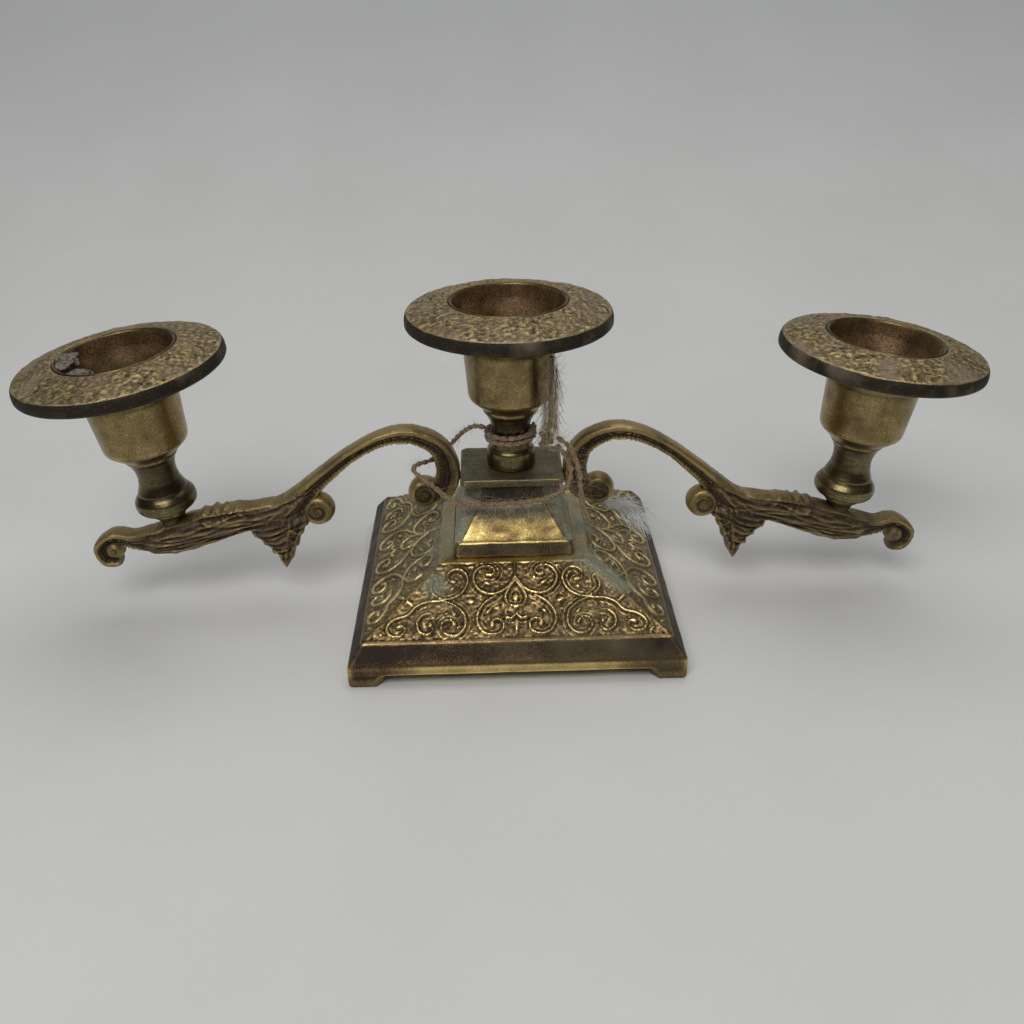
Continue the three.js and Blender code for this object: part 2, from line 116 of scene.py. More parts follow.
# ---- Camera ----
def look_from(place, yaw, pitch, roll, lens):
    """A camera that faces along y, turned left by yaw, down by pitch and rolled, in degrees."""
    yaw, pitch, roll = (math.radians(angle) for angle in (yaw, pitch, roll))
    right = Vector((math.cos(yaw), math.sin(yaw), 0))
    ahead = Vector((-math.sin(yaw), math.cos(yaw), 0))
    up = Vector((0, 0, 1))
    ahead, up = (
        ahead * math.cos(pitch) - up * math.sin(pitch),
        up * math.cos(pitch) + ahead * math.sin(pitch),
    )
    right, up = (
        right * math.cos(roll) + up * math.sin(roll),
        up * math.cos(roll) - right * math.sin(roll),
    )
    camera = bpy.data.objects.new("camera", bpy.data.cameras.new("camera"))
    camera.data.sensor_width = 36
    camera.data.lens = lens
    camera.data.clip_start = 0.01
    camera.data.clip_end = 20
    turn = Matrix((right, up, -ahead)).transposed().to_4x4()
    camera.matrix_world = Matrix.Translation(Vector(place) * MM) @ turn
    bpy.context.collection.objects.link(camera)
    bpy.context.scene.camera = camera


look_from((-3.83, -195.32, 128.45), yaw=-1.12, pitch=28.91, roll=-0.97, lens=35.51)


# ---- Finishes ----
def colour(code):
    """An sRGB hex value as the linear colour that a shader takes."""
    parts = [int(code[i : i + 2], 16) / 255 for i in (1, 3, 5)]
    linear = [c / 12.92 if c <= 0.04045 else ((c + 0.055) / 1.055) ** 2.4 for c in parts]
    return (*linear, 1.0)


def node(tree, kind, inputs=None, **settings):
    """Adds a node. An input is a value to set or another node's output to join."""
    made = tree.nodes.new(kind)
    for name, value in settings.items():
        setattr(made, name, value)
    for name, value in (inputs or {}).items():
        if isinstance(value, bpy.types.NodeSocket):
            tree.links.new(value, made.inputs[name])
        else:
            made.inputs[name].default_value = value
    return made


def per_metre(size):
    """The texture scale for a pattern whose features are that many millimetres across."""
    return 1 / (size * MM)


def new_finish(name):
    """A new material with its nodes, its shader and the mesh's own coordinates."""
    material = bpy.data.materials.new(name)
    material.use_nodes = True
    tree = material.node_tree
    shader = tree.nodes["Principled BSDF"]
    where = node(tree, "ShaderNodeTexCoord").outputs["Object"]
    return material, tree, shader, where


def shades(tree, level, stops):
    """A colour ramp: stops are (place, hex colour)."""
    ramp = node(tree, "ShaderNodeValToRGB", {"Fac": level})
    band = ramp.color_ramp
    while len(band.elements) < len(stops):
        band.elements.new(0.5)
    for element, (place, code) in zip(band.elements, stops):
        element.position = place
        element.color = colour(code)
    return ramp.outputs["Color"]


def mix_colours(tree, factor, first, second):
    """The second colour laid over the first, as far as the factor says."""
    mixed = node(tree, "ShaderNodeMix", data_type="RGBA")
    for place, value in ((0, factor), (6, first), (7, second)):
        if isinstance(value, bpy.types.NodeSocket):
            tree.links.new(value, mixed.inputs[place])
        else:
            mixed.inputs[place].default_value = value
    return mixed.outputs[2]


def aged_brass(name, stops, stain, gloss, blotch, grain, metal=1.0, bite=0.05, patchy=0.5,
               speckle=0.5, haze=("#6A6852", "#A3A188"), fleck=None):
    """Brass that has tarnished: dark in the hollows and bright where it is handled.

    stops run from the deepest hollow to the proudest edge. blotch and grain are the sizes, in mm,
    of the patches of tarnish and of the pits that casting or use has left; patchy and speckle say
    how far each shifts the shade. haze is the pair of colours of the film of wax and dirt that lies
    where a mesh's own "haze" says. fleck is the colour of bright specks on the proud places.
    """
    material, tree, shader, where = new_finish(name)
    # this attribute holds wear and, on some pieces, painted light and shade laid on by their tone
    wear_and_painted_light = node(tree, "ShaderNodeAttribute", attribute_name="wear_and_painted_light").outputs["Fac"]
    patches, pits = (
        node(
            tree,
            "ShaderNodeTexNoise",
            {"Vector": where, "Scale": per_metre(size), "Detail": detail, "Roughness": rough},
        ).outputs["Fac"]
        for size, detail, rough in ((blotch, 5.0, 0.65), (grain, 3.0, 0.6))
    )
    level = wear_and_painted_light
    for noise, share in ((patches, patchy), (pits, speckle)):
        shift = node(
            tree, "ShaderNodeMath", {0: noise, 1: share, 2: -share / 2}, operation="MULTIPLY_ADD"
        ).outputs[0]
        level = node(tree, "ShaderNodeMath", {0: level, 1: shift}, operation="ADD").outputs[0]
    tone = shades(tree, level, stops)
    spread = node(
        tree,
        "ShaderNodeTexNoise",
        {"Vector": where, "Scale": per_metre(blotch * 2.3), "Detail": 4.0, "W": 3.0},
        noise_dimensions="4D",
    ).outputs["Fac"]
    stained = node(
        tree, "ShaderNodeMapRange", {"Value": spread, "From Min": 0.5, "From Max": 0.72, "To Max": 0.75}
    ).outputs["Result"]
    mixed = mix_colours(tree, stained, tone, colour(stain))
    if fleck:
        bright, proud = (
            node(
                tree, "ShaderNodeMapRange", {"Value": by, "From Min": low, "From Max": high, "To Max": most}
            ).outputs["Result"]
            for by, low, high, most in ((pits, 0.58, 0.66, 0.75), (wear_and_painted_light, 0.3, 0.5, 1.0))
        )
        bright = node(tree, "ShaderNodeMath", {0: bright, 1: proud}, operation="MULTIPLY").outputs[0]
        mixed = mix_colours(tree, bright, mixed, colour(fleck))
    lying = node(tree, "ShaderNodeAttribute", attribute_name="haze").outputs["Fac"]
    broken = node(
        tree, "ShaderNodeMath", {0: patches, 1: 2.4, 2: -0.2}, operation="MULTIPLY_ADD"
    ).outputs[0]
    cover = node(
        tree, "ShaderNodeMath", {0: lying, 1: broken}, operation="MULTIPLY", use_clamp=True
    ).outputs[0]
    mixed = mix_colours(tree, cover, mixed, shades(tree, pits, [(0.35, haze[0]), (0.65, haze[1])]))
    rough, coat = (
        node(
            tree,
            "ShaderNodeMapRange",
            {"Value": level, "From Min": low, "From Max": high, "To Min": least, "To Max": most},
        ).outputs["Result"]
        for low, high, least, most in ((0.1, 0.95, gloss[1], gloss[0]), (0.05, 0.5, metal * 0.6, metal))
    )
    bare = node(tree, "ShaderNodeMath", {0: cover, 1: -0.9, 2: 1.0}, operation="MULTIPLY_ADD")
    coat = node(tree, "ShaderNodeMath", {0: coat, 1: bare.outputs[0]}, operation="MULTIPLY").outputs[0]
    rough = node(
        tree, "ShaderNodeMath", {0: cover, 1: 0.15, 2: rough}, operation="MULTIPLY_ADD"
    ).outputs[0]
    dents = node(
        tree, "ShaderNodeMath", {0: patches, 1: 0.6, 2: pits}, operation="MULTIPLY_ADD"
    ).outputs[0]
    bump = node(tree, "ShaderNodeBump", {"Height": dents, "Strength": 1.0, "Distance": bite * MM})
    tree.links.new(mixed, shader.inputs["Base Color"])
    tree.links.new(rough, shader.inputs["Roughness"])
    tree.links.new(coat, shader.inputs["Metallic"])
    tree.links.new(bump.outputs["Normal"], shader.inputs["Normal"])
    return material


# Sand-cast brass, chased and never lacquered: gold on the raised scrolls, brown in the ground.
cast_base_brass = aged_brass(
    "sand_cast_brass_base",
    [(0.12, "#30241A"), (0.38, "#80684A"), (0.58, "#B09663"), (0.86, "#FFE49A")],
    stain="#6A6048",
    gloss=(0.26, 0.56),
    blotch=7,
    grain=0.28,
    bite=0.04,
    speckle=0.75,
    haze=("#77765F", "#AEAC94"),
    fleck="#BCA470",
)
# The same metal on the arms, dull from handling, with red-brown dirt left in the leaf work.
cast_arm_brass = aged_brass(
    "sand_cast_brass_arms",
    [(0.12, "#261C14"), (0.4, "#554630"), (0.62, "#7E6F4A"), (0.9, "#BCA46C")],
    stain="#54443A",
    gloss=(0.36, 0.6),
    blotch=4,
    grain=0.35,
    bite=0.06,
    speckle=0.7,
    haze=("#3A2A24", "#64503F"),
)
# Cast and file-finished brass on the pedestal, hammer-rippled and brighter on its faces, partly through a
# painted reflection low on the front slope.
pedestal_brass = aged_brass(
    "filed_brass_pedestal",
    [(0.15, "#33261A"), (0.42, "#6E5B3A"), (0.62, "#A08A54"), (0.9, "#E6CC88")],
    stain="#6A6244",
    gloss=(0.28, 0.5),
    blotch=6,
    grain=0.35,
    bite=0.05,
    haze=("#85836C", "#BEBCA4"),
)
# Cast brass plate under the centre stem, dull olive with a brown edge.
hub_brass = aged_brass(
    "cast_brass_plate",
    [(0.15, "#2A2018"), (0.45, "#58503A"), (0.65, "#7E7350"), (0.9, "#B09A68")],
    stain="#574636",
    gloss=(0.34, 0.54),
    blotch=6,
    grain=0.4,
)
# Turned brass of the cups: satin and evenly olive, burnt brown and orange inside the sockets.
turned_brass = aged_brass(
    "turned_brass_cups",
    [(0.15, "#33291C"), (0.42, "#6E6040"), (0.62, "#97845A"), (0.9, "#D8BE86")],
    stain="#5E5038",
    gloss=(0.22, 0.4),
    blotch=4,
    grain=0.35,
    bite=0.02,
    patchy=0.6,
    speckle=0.6,
    haze=("#44301F", "#AC8052"),
)
# Turned brass of the stems, darker and more polished than the cups.
stem_brass = aged_brass(
    "turned_brass_stems",
    [(0.15, "#26211B"), (0.45, "#61563F"), (0.65, "#857752"), (0.9, "#C8B284")],
    stain="#3C382E",
    gloss=(0.2, 0.4),
    blotch=5,
    grain=0.5,
    bite=0.02,
)
# Drip pans under years of wax and dust: a rough brown crust with brass showing through its peaks.
crusted_brass = aged_brass(
    "crusted_brass_pans",
    [(0.08, "#2C261C"), (0.34, "#66573F"), (0.58, "#91805C"), (0.88, "#E4CC92")],
    stain="#8C7A68",
    gloss=(0.34, 0.68),
    blotch=3.2,
    grain=0.24,
    metal=0.8,
    bite=0.12,
    patchy=0.55,
    speckle=1.0,
    haze=("#72604A", "#AA967C"),
    fleck="#D0B98A",
)
# Zinc-plated steel of the rod, nuts and screws, gone grey.
zinc_steel = aged_brass(
    "zinc_plated_steel",
    [(0.15, "#2C2B29"), (0.45, "#6B6A66"), (0.65, "#8E8E8A"), (0.9, "#C6C6C2")],
    stain="#5A4E42",
    gloss=(0.3, 0.5),
    blotch=3,
    grain=0.3,
)


def clouded_finish(name, dark, light, size, detail, spread, depth, rough):
    """Two shades in clouds of that size, which stand up by that depth, both in millimetres."""
    material, tree, shader, where = new_finish(name)
    cloud = node(
        tree, "ShaderNodeTexNoise", {"Vector": where, "Scale": per_metre(size), "Detail": detail}
    ).outputs["Fac"]
    tone = shades(tree, cloud, [(0.5 - spread, dark), (0.5 + spread, light)])
    bump = node(tree, "ShaderNodeBump", {"Height": cloud, "Strength": 1.0, "Distance": depth * MM})
    tree.links.new(tone, shader.inputs["Base Color"])
    tree.links.new(bump.outputs["Normal"], shader.inputs["Normal"])
    shader.inputs["Roughness"].default_value = rough
    return material, shader


def fibre_finish(name, dark, light, strand):
    """Spun or loose fibre, matt with a soft sheen."""
    material, shader = clouded_finish(name, dark, light, strand, 4.0, 0.2, 0.08, 0.85)
    shader.inputs["Sheen Weight"].default_value = 0.3
    return material


# Two-ply jute: brown and dusty, with paler broken fibres standing off it.
jute_twine = fibre_finish("spun_jute_twine", "#685037", "#B39A74", 0.4)
jute_hair = fibre_finish("loose_jute_fibre", "#8C7356", "#D8C6A4", 1.2)
# Cotton thread, frayed to a soft white brush.
white_thread = fibre_finish("frayed_cotton_thread", "#E4E6E2", "#FCFCFA", 1.0)


def wax_finish(name, low, high, rough):
    """Old wax, cloudy and lit a little from within."""
    material, shader = clouded_finish(name, low, high, 0.8, 6.0, 0.18, 0.15, rough)
    shader.inputs["Subsurface Weight"].default_value = 0.15
    shader.inputs["Subsurface Scale"].default_value = 0.5 * MM
    return material


# Old candle wax: brown-grey with soot where it has dripped, paler where it has dried thin.
grey_wax = wax_finish("old_candle_wax", "#2A221B", "#968B7C", 0.55)
pale_wax = wax_finish("dried_wax_film", "#7A745E", "#BDB7A4", 0.6)


# ---- Making meshes ----
def lumps(points, size, seed=0):
    """Smooth random heights from -1 to 1, in lumps of that many millimetres."""
    spot = np.asarray(points, float) / size + seed * 17.31
    cell = np.floor(spot)
    part = spot - cell
    part = part * part * (3 - 2 * part)
    total = np.zeros(len(spot))
    for corner in np.ndindex(2, 2, 2):
        corner = np.array(corner)
        hashed = np.sin((cell + corner) @ np.array([127.1, 311.7, 74.7])) * 43758.5453
        share = np.prod(np.where(corner, part, 1 - part), axis=1)
        total += share * (hashed - np.floor(hashed))
    return 2 * total - 1


def edge_ends(mesh):
    """The two points that each edge joins."""
    ends = np.empty(len(mesh.edges) * 2, int)
    mesh.edges.foreach_get("vertices", ends)
    return ends.reshape(-1, 2)


def worn_amount(mesh, places, normals, rounds, scale):
    """How proud each point stands of its smoothed surroundings: 0 in a hollow, 1 on an edge."""
    a, b = edge_ends(mesh).T
    count = np.bincount(a, minlength=len(places)) + np.bincount(b, minlength=len(places))
    soft = places.copy()
    for _ in range(rounds):
        total = np.stack(
            [
                np.bincount(a, soft[b, axis], len(places)) + np.bincount(b, soft[a, axis], len(places))
                for axis in range(3)
            ],
            axis=1,
        )
        soft = total / count[:, None]
    proud = ((places - soft) * normals).sum(axis=1)
    return np.clip(0.5 + proud / scale, 0, 1)


def piece(name, points, faces, body, finish, hides=(), place=None, swell=None,
          crease=40, rounds=12, scale=0.5, tone=None, haze=None):
    """A closed mesh from points in millimetres, riding on a body.

    swell moves each point along its normal. tone shifts a point's wear and adds painted light and shade to
    it, and haze says how much dirt lies on it. hides names the CAD nodes that the piece stands in for.
    """
    mesh = bpy.data.meshes.new(name)
    points = np.asarray(points, float)
    mesh.from_pydata(points.tolist(), [], [tuple(int(i) for i in face) for face in faces])
    mesh.validate()
    normals = np.empty(len(points) * 3)
    mesh.vertex_normals.foreach_get("vector", normals)
    normals = normals.reshape(-1, 3)
    if swell is not None:
        points = points + normals * np.asarray(swell(points))[:, None]
        mesh.vertices.foreach_set("co", points.ravel())
        mesh.update()
    wear_and_painted_light = worn_amount(mesh, points, normals, rounds, scale)
    # tone adds painted light and shade into the same attribute as wear
    if tone is not None:
        wear_and_painted_light = np.clip(wear_and_painted_light + tone(points), 0, 1)
    mesh.attributes.new("wear_and_painted_light", "FLOAT", "POINT").data.foreach_set("value", wear_and_painted_light)
    lying = np.zeros(len(points)) if haze is None else np.clip(haze(points), 0, 1)
    mesh.attributes.new("haze", "FLOAT", "POINT").data.foreach_set("value", lying)
    mesh.shade_smooth()
    mesh.set_sharp_from_angle(angle=math.radians(crease))
    scaled = Matrix.Scale(MM, 4)
    mesh.transform(scaled @ place if place is not None else scaled)
    mesh.materials.append(finish)
    made = bpy.data.objects.new(name, mesh)
    bpy.context.collection.objects.link(made)
    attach(made, body)
    if hides:
        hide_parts(*hides)
    return made


def eased(path, reach, steps=4):
    """The path with each corner rounded off, starting that far before it."""
    path = [np.array(p, float) for p in path]
    out = [path[0]]
    for before, corner, after in zip(path, path[1:], path[2:]):
        back, on = before - corner, after - corner
        a = corner + back * min(0.45, reach / max(np.linalg.norm(back[:2]), 1e-6))
        b = corner + on * min(0.45, reach / max(np.linalg.norm(on[:2]), 1e-6))
        for t in np.linspace(0, 1, steps + 1):
            out.append((1 - t) ** 2 * a + 2 * t * (1 - t) * corner + t * t * b)
    out.append(path[-1])
    return np.array(out)


def refined(path, step):
    """The path with points no further apart than the step."""
    out = [path[0]]
    for a, b in zip(path, path[1:]):
        count = max(1, math.ceil(np.linalg.norm((b - a)[:2]) / step))
        out.extend(a + (b - a) * t for t in np.arange(1, count + 1) / count)
    return np.array(out)


def smooth(points, step):
    """A curve through the points, as evenly spaced points."""
    p = np.array(points, float)
    p = np.vstack([2 * p[0] - p[1], p, 2 * p[-1] - p[-2]])
    fine = [p[1]]
    for a, b, c, d in zip(p, p[1:], p[2:], p[3:]):
        for t in np.linspace(0, 1, 25)[1:]:
            fine.append(
                0.5 * (2 * b + (c - a) * t + (2 * a - 5 * b + 4 * c - d) * t**2
                       + (3 * b - a - 3 * c + d) * t**3)
            )
    fine = np.array(fine)
    run = np.concatenate([[0], np.cumsum(np.linalg.norm(np.diff(fine, axis=0), axis=1))])
    even = np.linspace(0, run[-1], max(2, round(run[-1] / step) + 1))
    return np.stack([np.interp(even, run, fine[:, k]) for k in range(p.shape[1])], axis=1)


def turned(profile, sides=160, closed=False):
    """A lathed body. An open profile starts and ends on the axis; a closed one goes round a hole."""
    rows, points = [], []
    for radius, height in np.asarray(profile)[:, :2]:
        if radius < 1e-6:
            rows.append([len(points)] * sides)
            points.append((0, 0, height))
            continue
        rows.append(range(len(points), len(points) + sides))
        for i in range(sides):
            angle = 2 * math.pi * i / sides
            points.append((radius * math.cos(angle), radius * math.sin(angle), height))
    if closed:
        rows.append(rows[0])
    faces = []
    for low, high in zip(rows, rows[1:]):
        for i in range(sides):
            j = (i + 1) % sides
            ring = [low[i], low[j], high[j], high[i]]
            faces.append(list(dict.fromkeys(ring)))
    return points, faces


def stacked(rings, closed=False):
    """Faces joining rings of points, each given as the same number of points."""
    points = np.vstack(rings)
    sides, levels = len(rings[0]), len(rings)
    faces = []
    for row in range(levels if closed else levels - 1):
        low, high = row * sides, (row + 1) % levels * sides
        for i in range(sides):
            j = (i + 1) % sides
            faces.append((low + i, low + j, high + j, high + i))
    if not closed:
        faces.append(tuple(range(sides))[::-1])
        faces.append(tuple(range((levels - 1) * sides, levels * sides)))
    return points, faces


def nearest(points, line):
    """For each flat point: distance to a line, how far along the line, and which side of it."""
    line = np.asarray(line, float)[:, :2]
    starts, runs = line[:-1], np.diff(line, axis=0)
    squared = np.maximum((runs**2).sum(axis=1), 1e-12)
    gap, along, side = (np.empty(len(points)) for _ in range(3))
    for first in range(0, len(points), AT_ONCE):
        some = slice(first, first + AT_ONCE)
        offset = points[some, None, :] - starts[None]
        part = np.clip((offset * runs).sum(axis=2) / squared, 0, 1)
        away = offset - part[..., None] * runs
        distance = np.hypot(away[..., 0], away[..., 1])
        best = distance.argmin(axis=1)
        row = np.arange(len(best))
        gap[some] = distance[row, best]
        along[some] = (best + part[row, best]) / len(starts)
        cross = runs[best, 0] * offset[row, best, 1] - runs[best, 1] * offset[row, best, 0]
        side[some] = np.sign(cross)
    return gap, along, side


def within(points, outline):
    """True for each flat point inside a closed outline."""
    inside = np.zeros(len(points), bool)
    x, y = points.T
    for (ax, ay), (bx, by) in zip(outline, np.roll(outline, -1, axis=0)):
        if ay != by:
            crosses = (ay > y) != (by > y)
            inside ^= crosses & (x < (bx - ax) * (y - ay) / (by - ay) + ax)
    return inside


# ---- Twine ----
def swept(line, outline, turns_each):
    """A closed tube: the outline, a radius for each angle, carried along a line and twisted."""
    line = np.asarray(line, float)
    ahead = np.gradient(line, axis=0)
    ahead /= np.linalg.norm(ahead, axis=1)[:, None]
    side = np.cross(ahead[0], [0.3, 0.5, 0.8])
    rings, run = [], 0.0
    angles = np.linspace(0, 2 * math.pi, len(outline), endpoint=False)
    for i, (spot, forward) in enumerate(zip(line, ahead)):
        side = side - forward * side.dot(forward)
        side /= np.linalg.norm(side)
        other = np.cross(forward, side)
        run += np.linalg.norm(spot - line[max(i - 1, 0)])
        turned_by = angles + run * turns_each * 2 * math.pi
        thin = outline[:, None] * (
            np.cos(turned_by)[:, None] * side + np.sin(turned_by)[:, None] * other
        )
        rings.append(spot + thin)
    return stacked(rings)


def two_ply(radius):
    """The outline of two yarns laid together, as a radius for each angle."""
    angles = np.linspace(0, 2 * math.pi, 14, endpoint=False)
    return radius * np.maximum(0.62, np.abs(np.cos(angles)) ** 0.7)


def twine(name, points):
    """A stretch of the twine on a curve through the points, and that curve."""
    line = smooth(points, 0.22)
    verts, faces = swept(line, two_ply(TWINE_R - 0.03), PLY_TURNS)
    made = piece(name, verts, faces, "crosspiece", jute_twine,
                 swell=lambda p: 0.035 * lumps(p, 0.35, 3), crease=80, rounds=3)
    return made, line


def fibres(name, roots, reach, spread, thickness, finish, drift=(0, 0, 0), curl=0.6,
           body="crosspiece"):
    """Loose fibres, each a thin tapering closed tube that starts at a root point."""
    all_points, all_faces = [], []
    for root, forward in roots:
        length = reach * chance.uniform(0.35, 1.0)
        heading = np.asarray(forward) + chance.normal(0, spread, 3)
        heading /= np.linalg.norm(heading)
        bend = chance.normal(0, curl, 3) + np.array(drift)
        spot, line = np.array(root, float), []
        for _ in range(7):
            line.append(spot)
            heading = heading + bend / 7
            heading /= np.linalg.norm(heading)
            spot = spot + heading * length / 6
        line = np.array(line)
        taper = np.linspace(1, 0.35, len(line))
        across = np.cross(heading, [0.2, 0.7, 0.4])
        across /= np.linalg.norm(across)
        other = np.cross(heading, across)
        first = len(all_points)
        for spot, share in zip(line, taper):
            for angle in THIRDS:
                all_points.append(
                    spot + thickness * share * (math.cos(angle) * across + math.sin(angle) * other)
                )
        for row in range(len(line) - 1):
            for i in range(3):
                a, b = first + row * 3 + i, first + row * 3 + (i + 1) % 3
                all_faces.append((a, b, b + 3, a + 3))
        all_faces.append((first, first + 2, first + 1))
        last = first + (len(line) - 1) * 3
        all_faces.append((last, last + 1, last + 2))
    return piece(name, all_points, all_faces, body, finish, crease=80, rounds=1)


def roots_on(line, count, radius=TWINE_R * 0.8, lean=0.8):
    """Points just inside the twine's skin, each with the way that it looks out and leans."""
    ahead = np.gradient(line, axis=0)
    found = []
    for i in chance.integers(0, len(line), count):
        out = np.cross(ahead[i], chance.normal(0, 1, 3))
        out /= np.linalg.norm(out)
        found.append((line[i] + out * radius, out + lean * ahead[i] / np.linalg.norm(ahead[i])))
    return found


loop_points = [
    (-5.5, -2.6, 42.4), (-8.0, -0.8, 41.8), (-10.6, 2.0, 39.0), (-13.4, 4.0, 35.2),
    (-17.0, 4.6, 31.8), (-20.3, 2.4, 31.6), (-20.9, -1.4, 32.2), (-18.9, -4.2, 31.4),
    (-16.2, -5.4, 29.8), (-13.4, -8.0, 28.4), (-10.2, -10.6, 28.5), (-5.0, -11.9, 29.0),
    (1.4, -12.0, 29.4), (7.0, -11.6, 30.0), (11.0, -10.0, 31.6), (12.2, -8.4, 34.6),
    (10.8, -6.2, 37.6), (9.4, -5.0, 39.0),
]
tail_points = [
    (9.4, -5.4, 41.0), (12.2, -6.6, 38.8), (13.8, -8.8, 34.6), (14.2, -9.8, 30.2),
    (14.9, -9.8, 25.0),
]
strand_points = [
    (7.4, -5.2, 42.4), (8.0, -6.8, 45.0), (7.9, -8.4, 50.0), (8.0, -9.6, 55.5), (7.9, -9.9, 60.2),
]
twine_pieces = []
for name, points, count, reach in (
    ("twine_loop_cord", loop_points, 420, 2.6),
    ("twine_tail_cord", tail_points, 220, 4.0),
    ("twine_strand_cord", strand_points, 420, 4.6),
):
    cord, line = twine(name, points)
    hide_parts(name.replace("_cord", ""))
    hair = fibres(name + "_fuzz", roots_on(line, count), reach, 0.45, 0.02, jute_hair)
    twine_pieces += [cord, hair]
    if name == "twine_loop_cord":
        loop, loop_line = cord, line

# The strand is coming apart: loose yarn lies along it, and long fibres wander off the loop.
yarn = fibres("twine_strand_frayed", roots_on(line[8:], 360, 0.95, lean=-5.0), 8.5, 0.1, 0.045,
              jute_hair, drift=(-0.12, 0.0, 0.0), curl=0.25)
strays = fibres("twine_loop_strays", roots_on(loop_line[150:390], 44, lean=0.6), 12.0, 0.5, 0.045,
                jute_hair, drift=(0.3, -0.7, -0.9), curl=0.8)
twine_pieces += [yarn, strays]

wrap_turn = np.linspace(WRAP_START, WRAP_START + 4 * math.pi, 90)
wrap_line = np.column_stack([
    WRAP_R * np.cos(wrap_turn),
    WRAP_R * np.sin(wrap_turn),
    WRAP_Z + WRAP_RISE * (wrap_turn - WRAP_START) / (2 * math.pi) - WRAP_RISE,
])
knot_angle = np.linspace(0, 4.6 * math.pi, 60)
knot_line = np.column_stack([
    7.2 + 1.05 * np.cos(knot_angle) + 0.15 * np.sin(2.3 * knot_angle),
    -4.4 + 0.95 * np.sin(knot_angle),
    40.2 + 1.0 * np.sin(0.43 * knot_angle + 0.5) + 0.35 * np.cos(1.7 * knot_angle),
])
for name, points, reach, spread in (("twine_wrap", wrap_line, 2.4, 0.45),
                                    ("twine_knot", knot_line, 4.0, 0.7)):
    turns, line = twine(f"{name}_turns", points)
    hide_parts(name)
    hair = fibres(f"{name}_fuzz", roots_on(line, 160), reach, spread, 0.022, jute_hair)
    twine_pieces += [turns, hair]


# ---- Base ----
# Half of the scroll pattern on a panel: points across it and down its slope from the ledge.
PANEL_LENGTH = math.hypot(RIM_HALF - LEDGE_HALF, LEDGE_Z - RIM_Z)
PANEL_SCROLLS = [
    [(-0.1, 3.9), (-1.2, 5.8), (-2.9, 7.3), (-5.2, 7.8), (-7.4, 6.8), (-8.6, 4.6), (-8.1, 2.5),
     (-6.7, 1.4), (-5.0, 1.5), (-4.2, 2.5), (-4.7, 3.4), (-5.6, 3.3)],
    [(-15.4, 8.9), (-13.2, 8.7), (-10.9, 7.3), (-9.8, 4.9), (-10.2, 3.0), (-11.5, 2.0),
     (-13.0, 2.2), (-13.9, 3.3), (-13.6, 4.6), (-12.5, 4.8)],
    [(0.0, 1.0), (0.0, 4.4), (-1.3, 6.6), (-2.1, 8.7), (-1.5, 10.3), (0.0, 10.8)],
    [(-3.9, 8.2), (-6.2, 9.7), (-7.7, 12.0), (-7.9, 14.3), (-6.7, 16.3), (-4.8, 16.9),
     (-3.0, 16.2), (-2.6, 14.6), (-3.6, 13.5), (-4.9, 13.9), (-4.9, 14.9)],
    [(-15.3, 9.0), (-12.9, 10.0), (-10.9, 11.7), (-10.3, 13.7), (-10.6, 15.5), (-12.0, 16.9),
     (-13.9, 16.8), (-15.2, 15.4), (-14.7, 13.8), (-13.2, 13.5), (-12.5, 14.5)],
    [(-15.4, 9.2), (-17.9, 9.3), (-20.2, 10.3), (-22.0, 12.2), (-24.4, 13.0), (-26.1, 14.6),
     (-25.6, 16.4), (-23.8, 16.9), (-22.4, 15.8), (-22.9, 14.6), (-23.9, 14.8)],
    [(-16.9, 4.4), (-17.4, 6.0), (-16.8, 7.6), (-15.4, 8.6)],
    [(0.0, 12.4), (-1.0, 13.4), (-1.9, 13.2)],
    [(-17.2, 12.0), (-18.8, 12.2), (-20.0, 13.8), (-19.6, 15.8), (-18.0, 16.6), (-16.9, 15.6),
     (-17.4, 14.4)],
]
# Small leaves on the panel: centre, half length, half width and turn in degrees.
PANEL_LEAVES = [
    (-9.2, 9.3, 1.0, 0.75, 20),
    (0.0, 14.8, 1.9, 0.6, 90),
    (-18.6, 14.4, 1.5, 0.6, 60),
    (-12.9, 6.4, 0.8, 0.5, -35),
    (-5.9, 5.2, 0.9, 0.5, 30),
    (0.0, 8.6, 1.3, 0.75, 90),
    (-5.6, 11.7, 1.0, 0.45, -50),
    (-12.6, 12.0, 0.9, 0.45, 45),
    (-8.9, 1.4, 0.8, 0.4, 0),
    (-21.8, 9.2, 1.4, 0.5, 42),
    (-27.3, 16.4, 0.9, 0.35, 42),
]


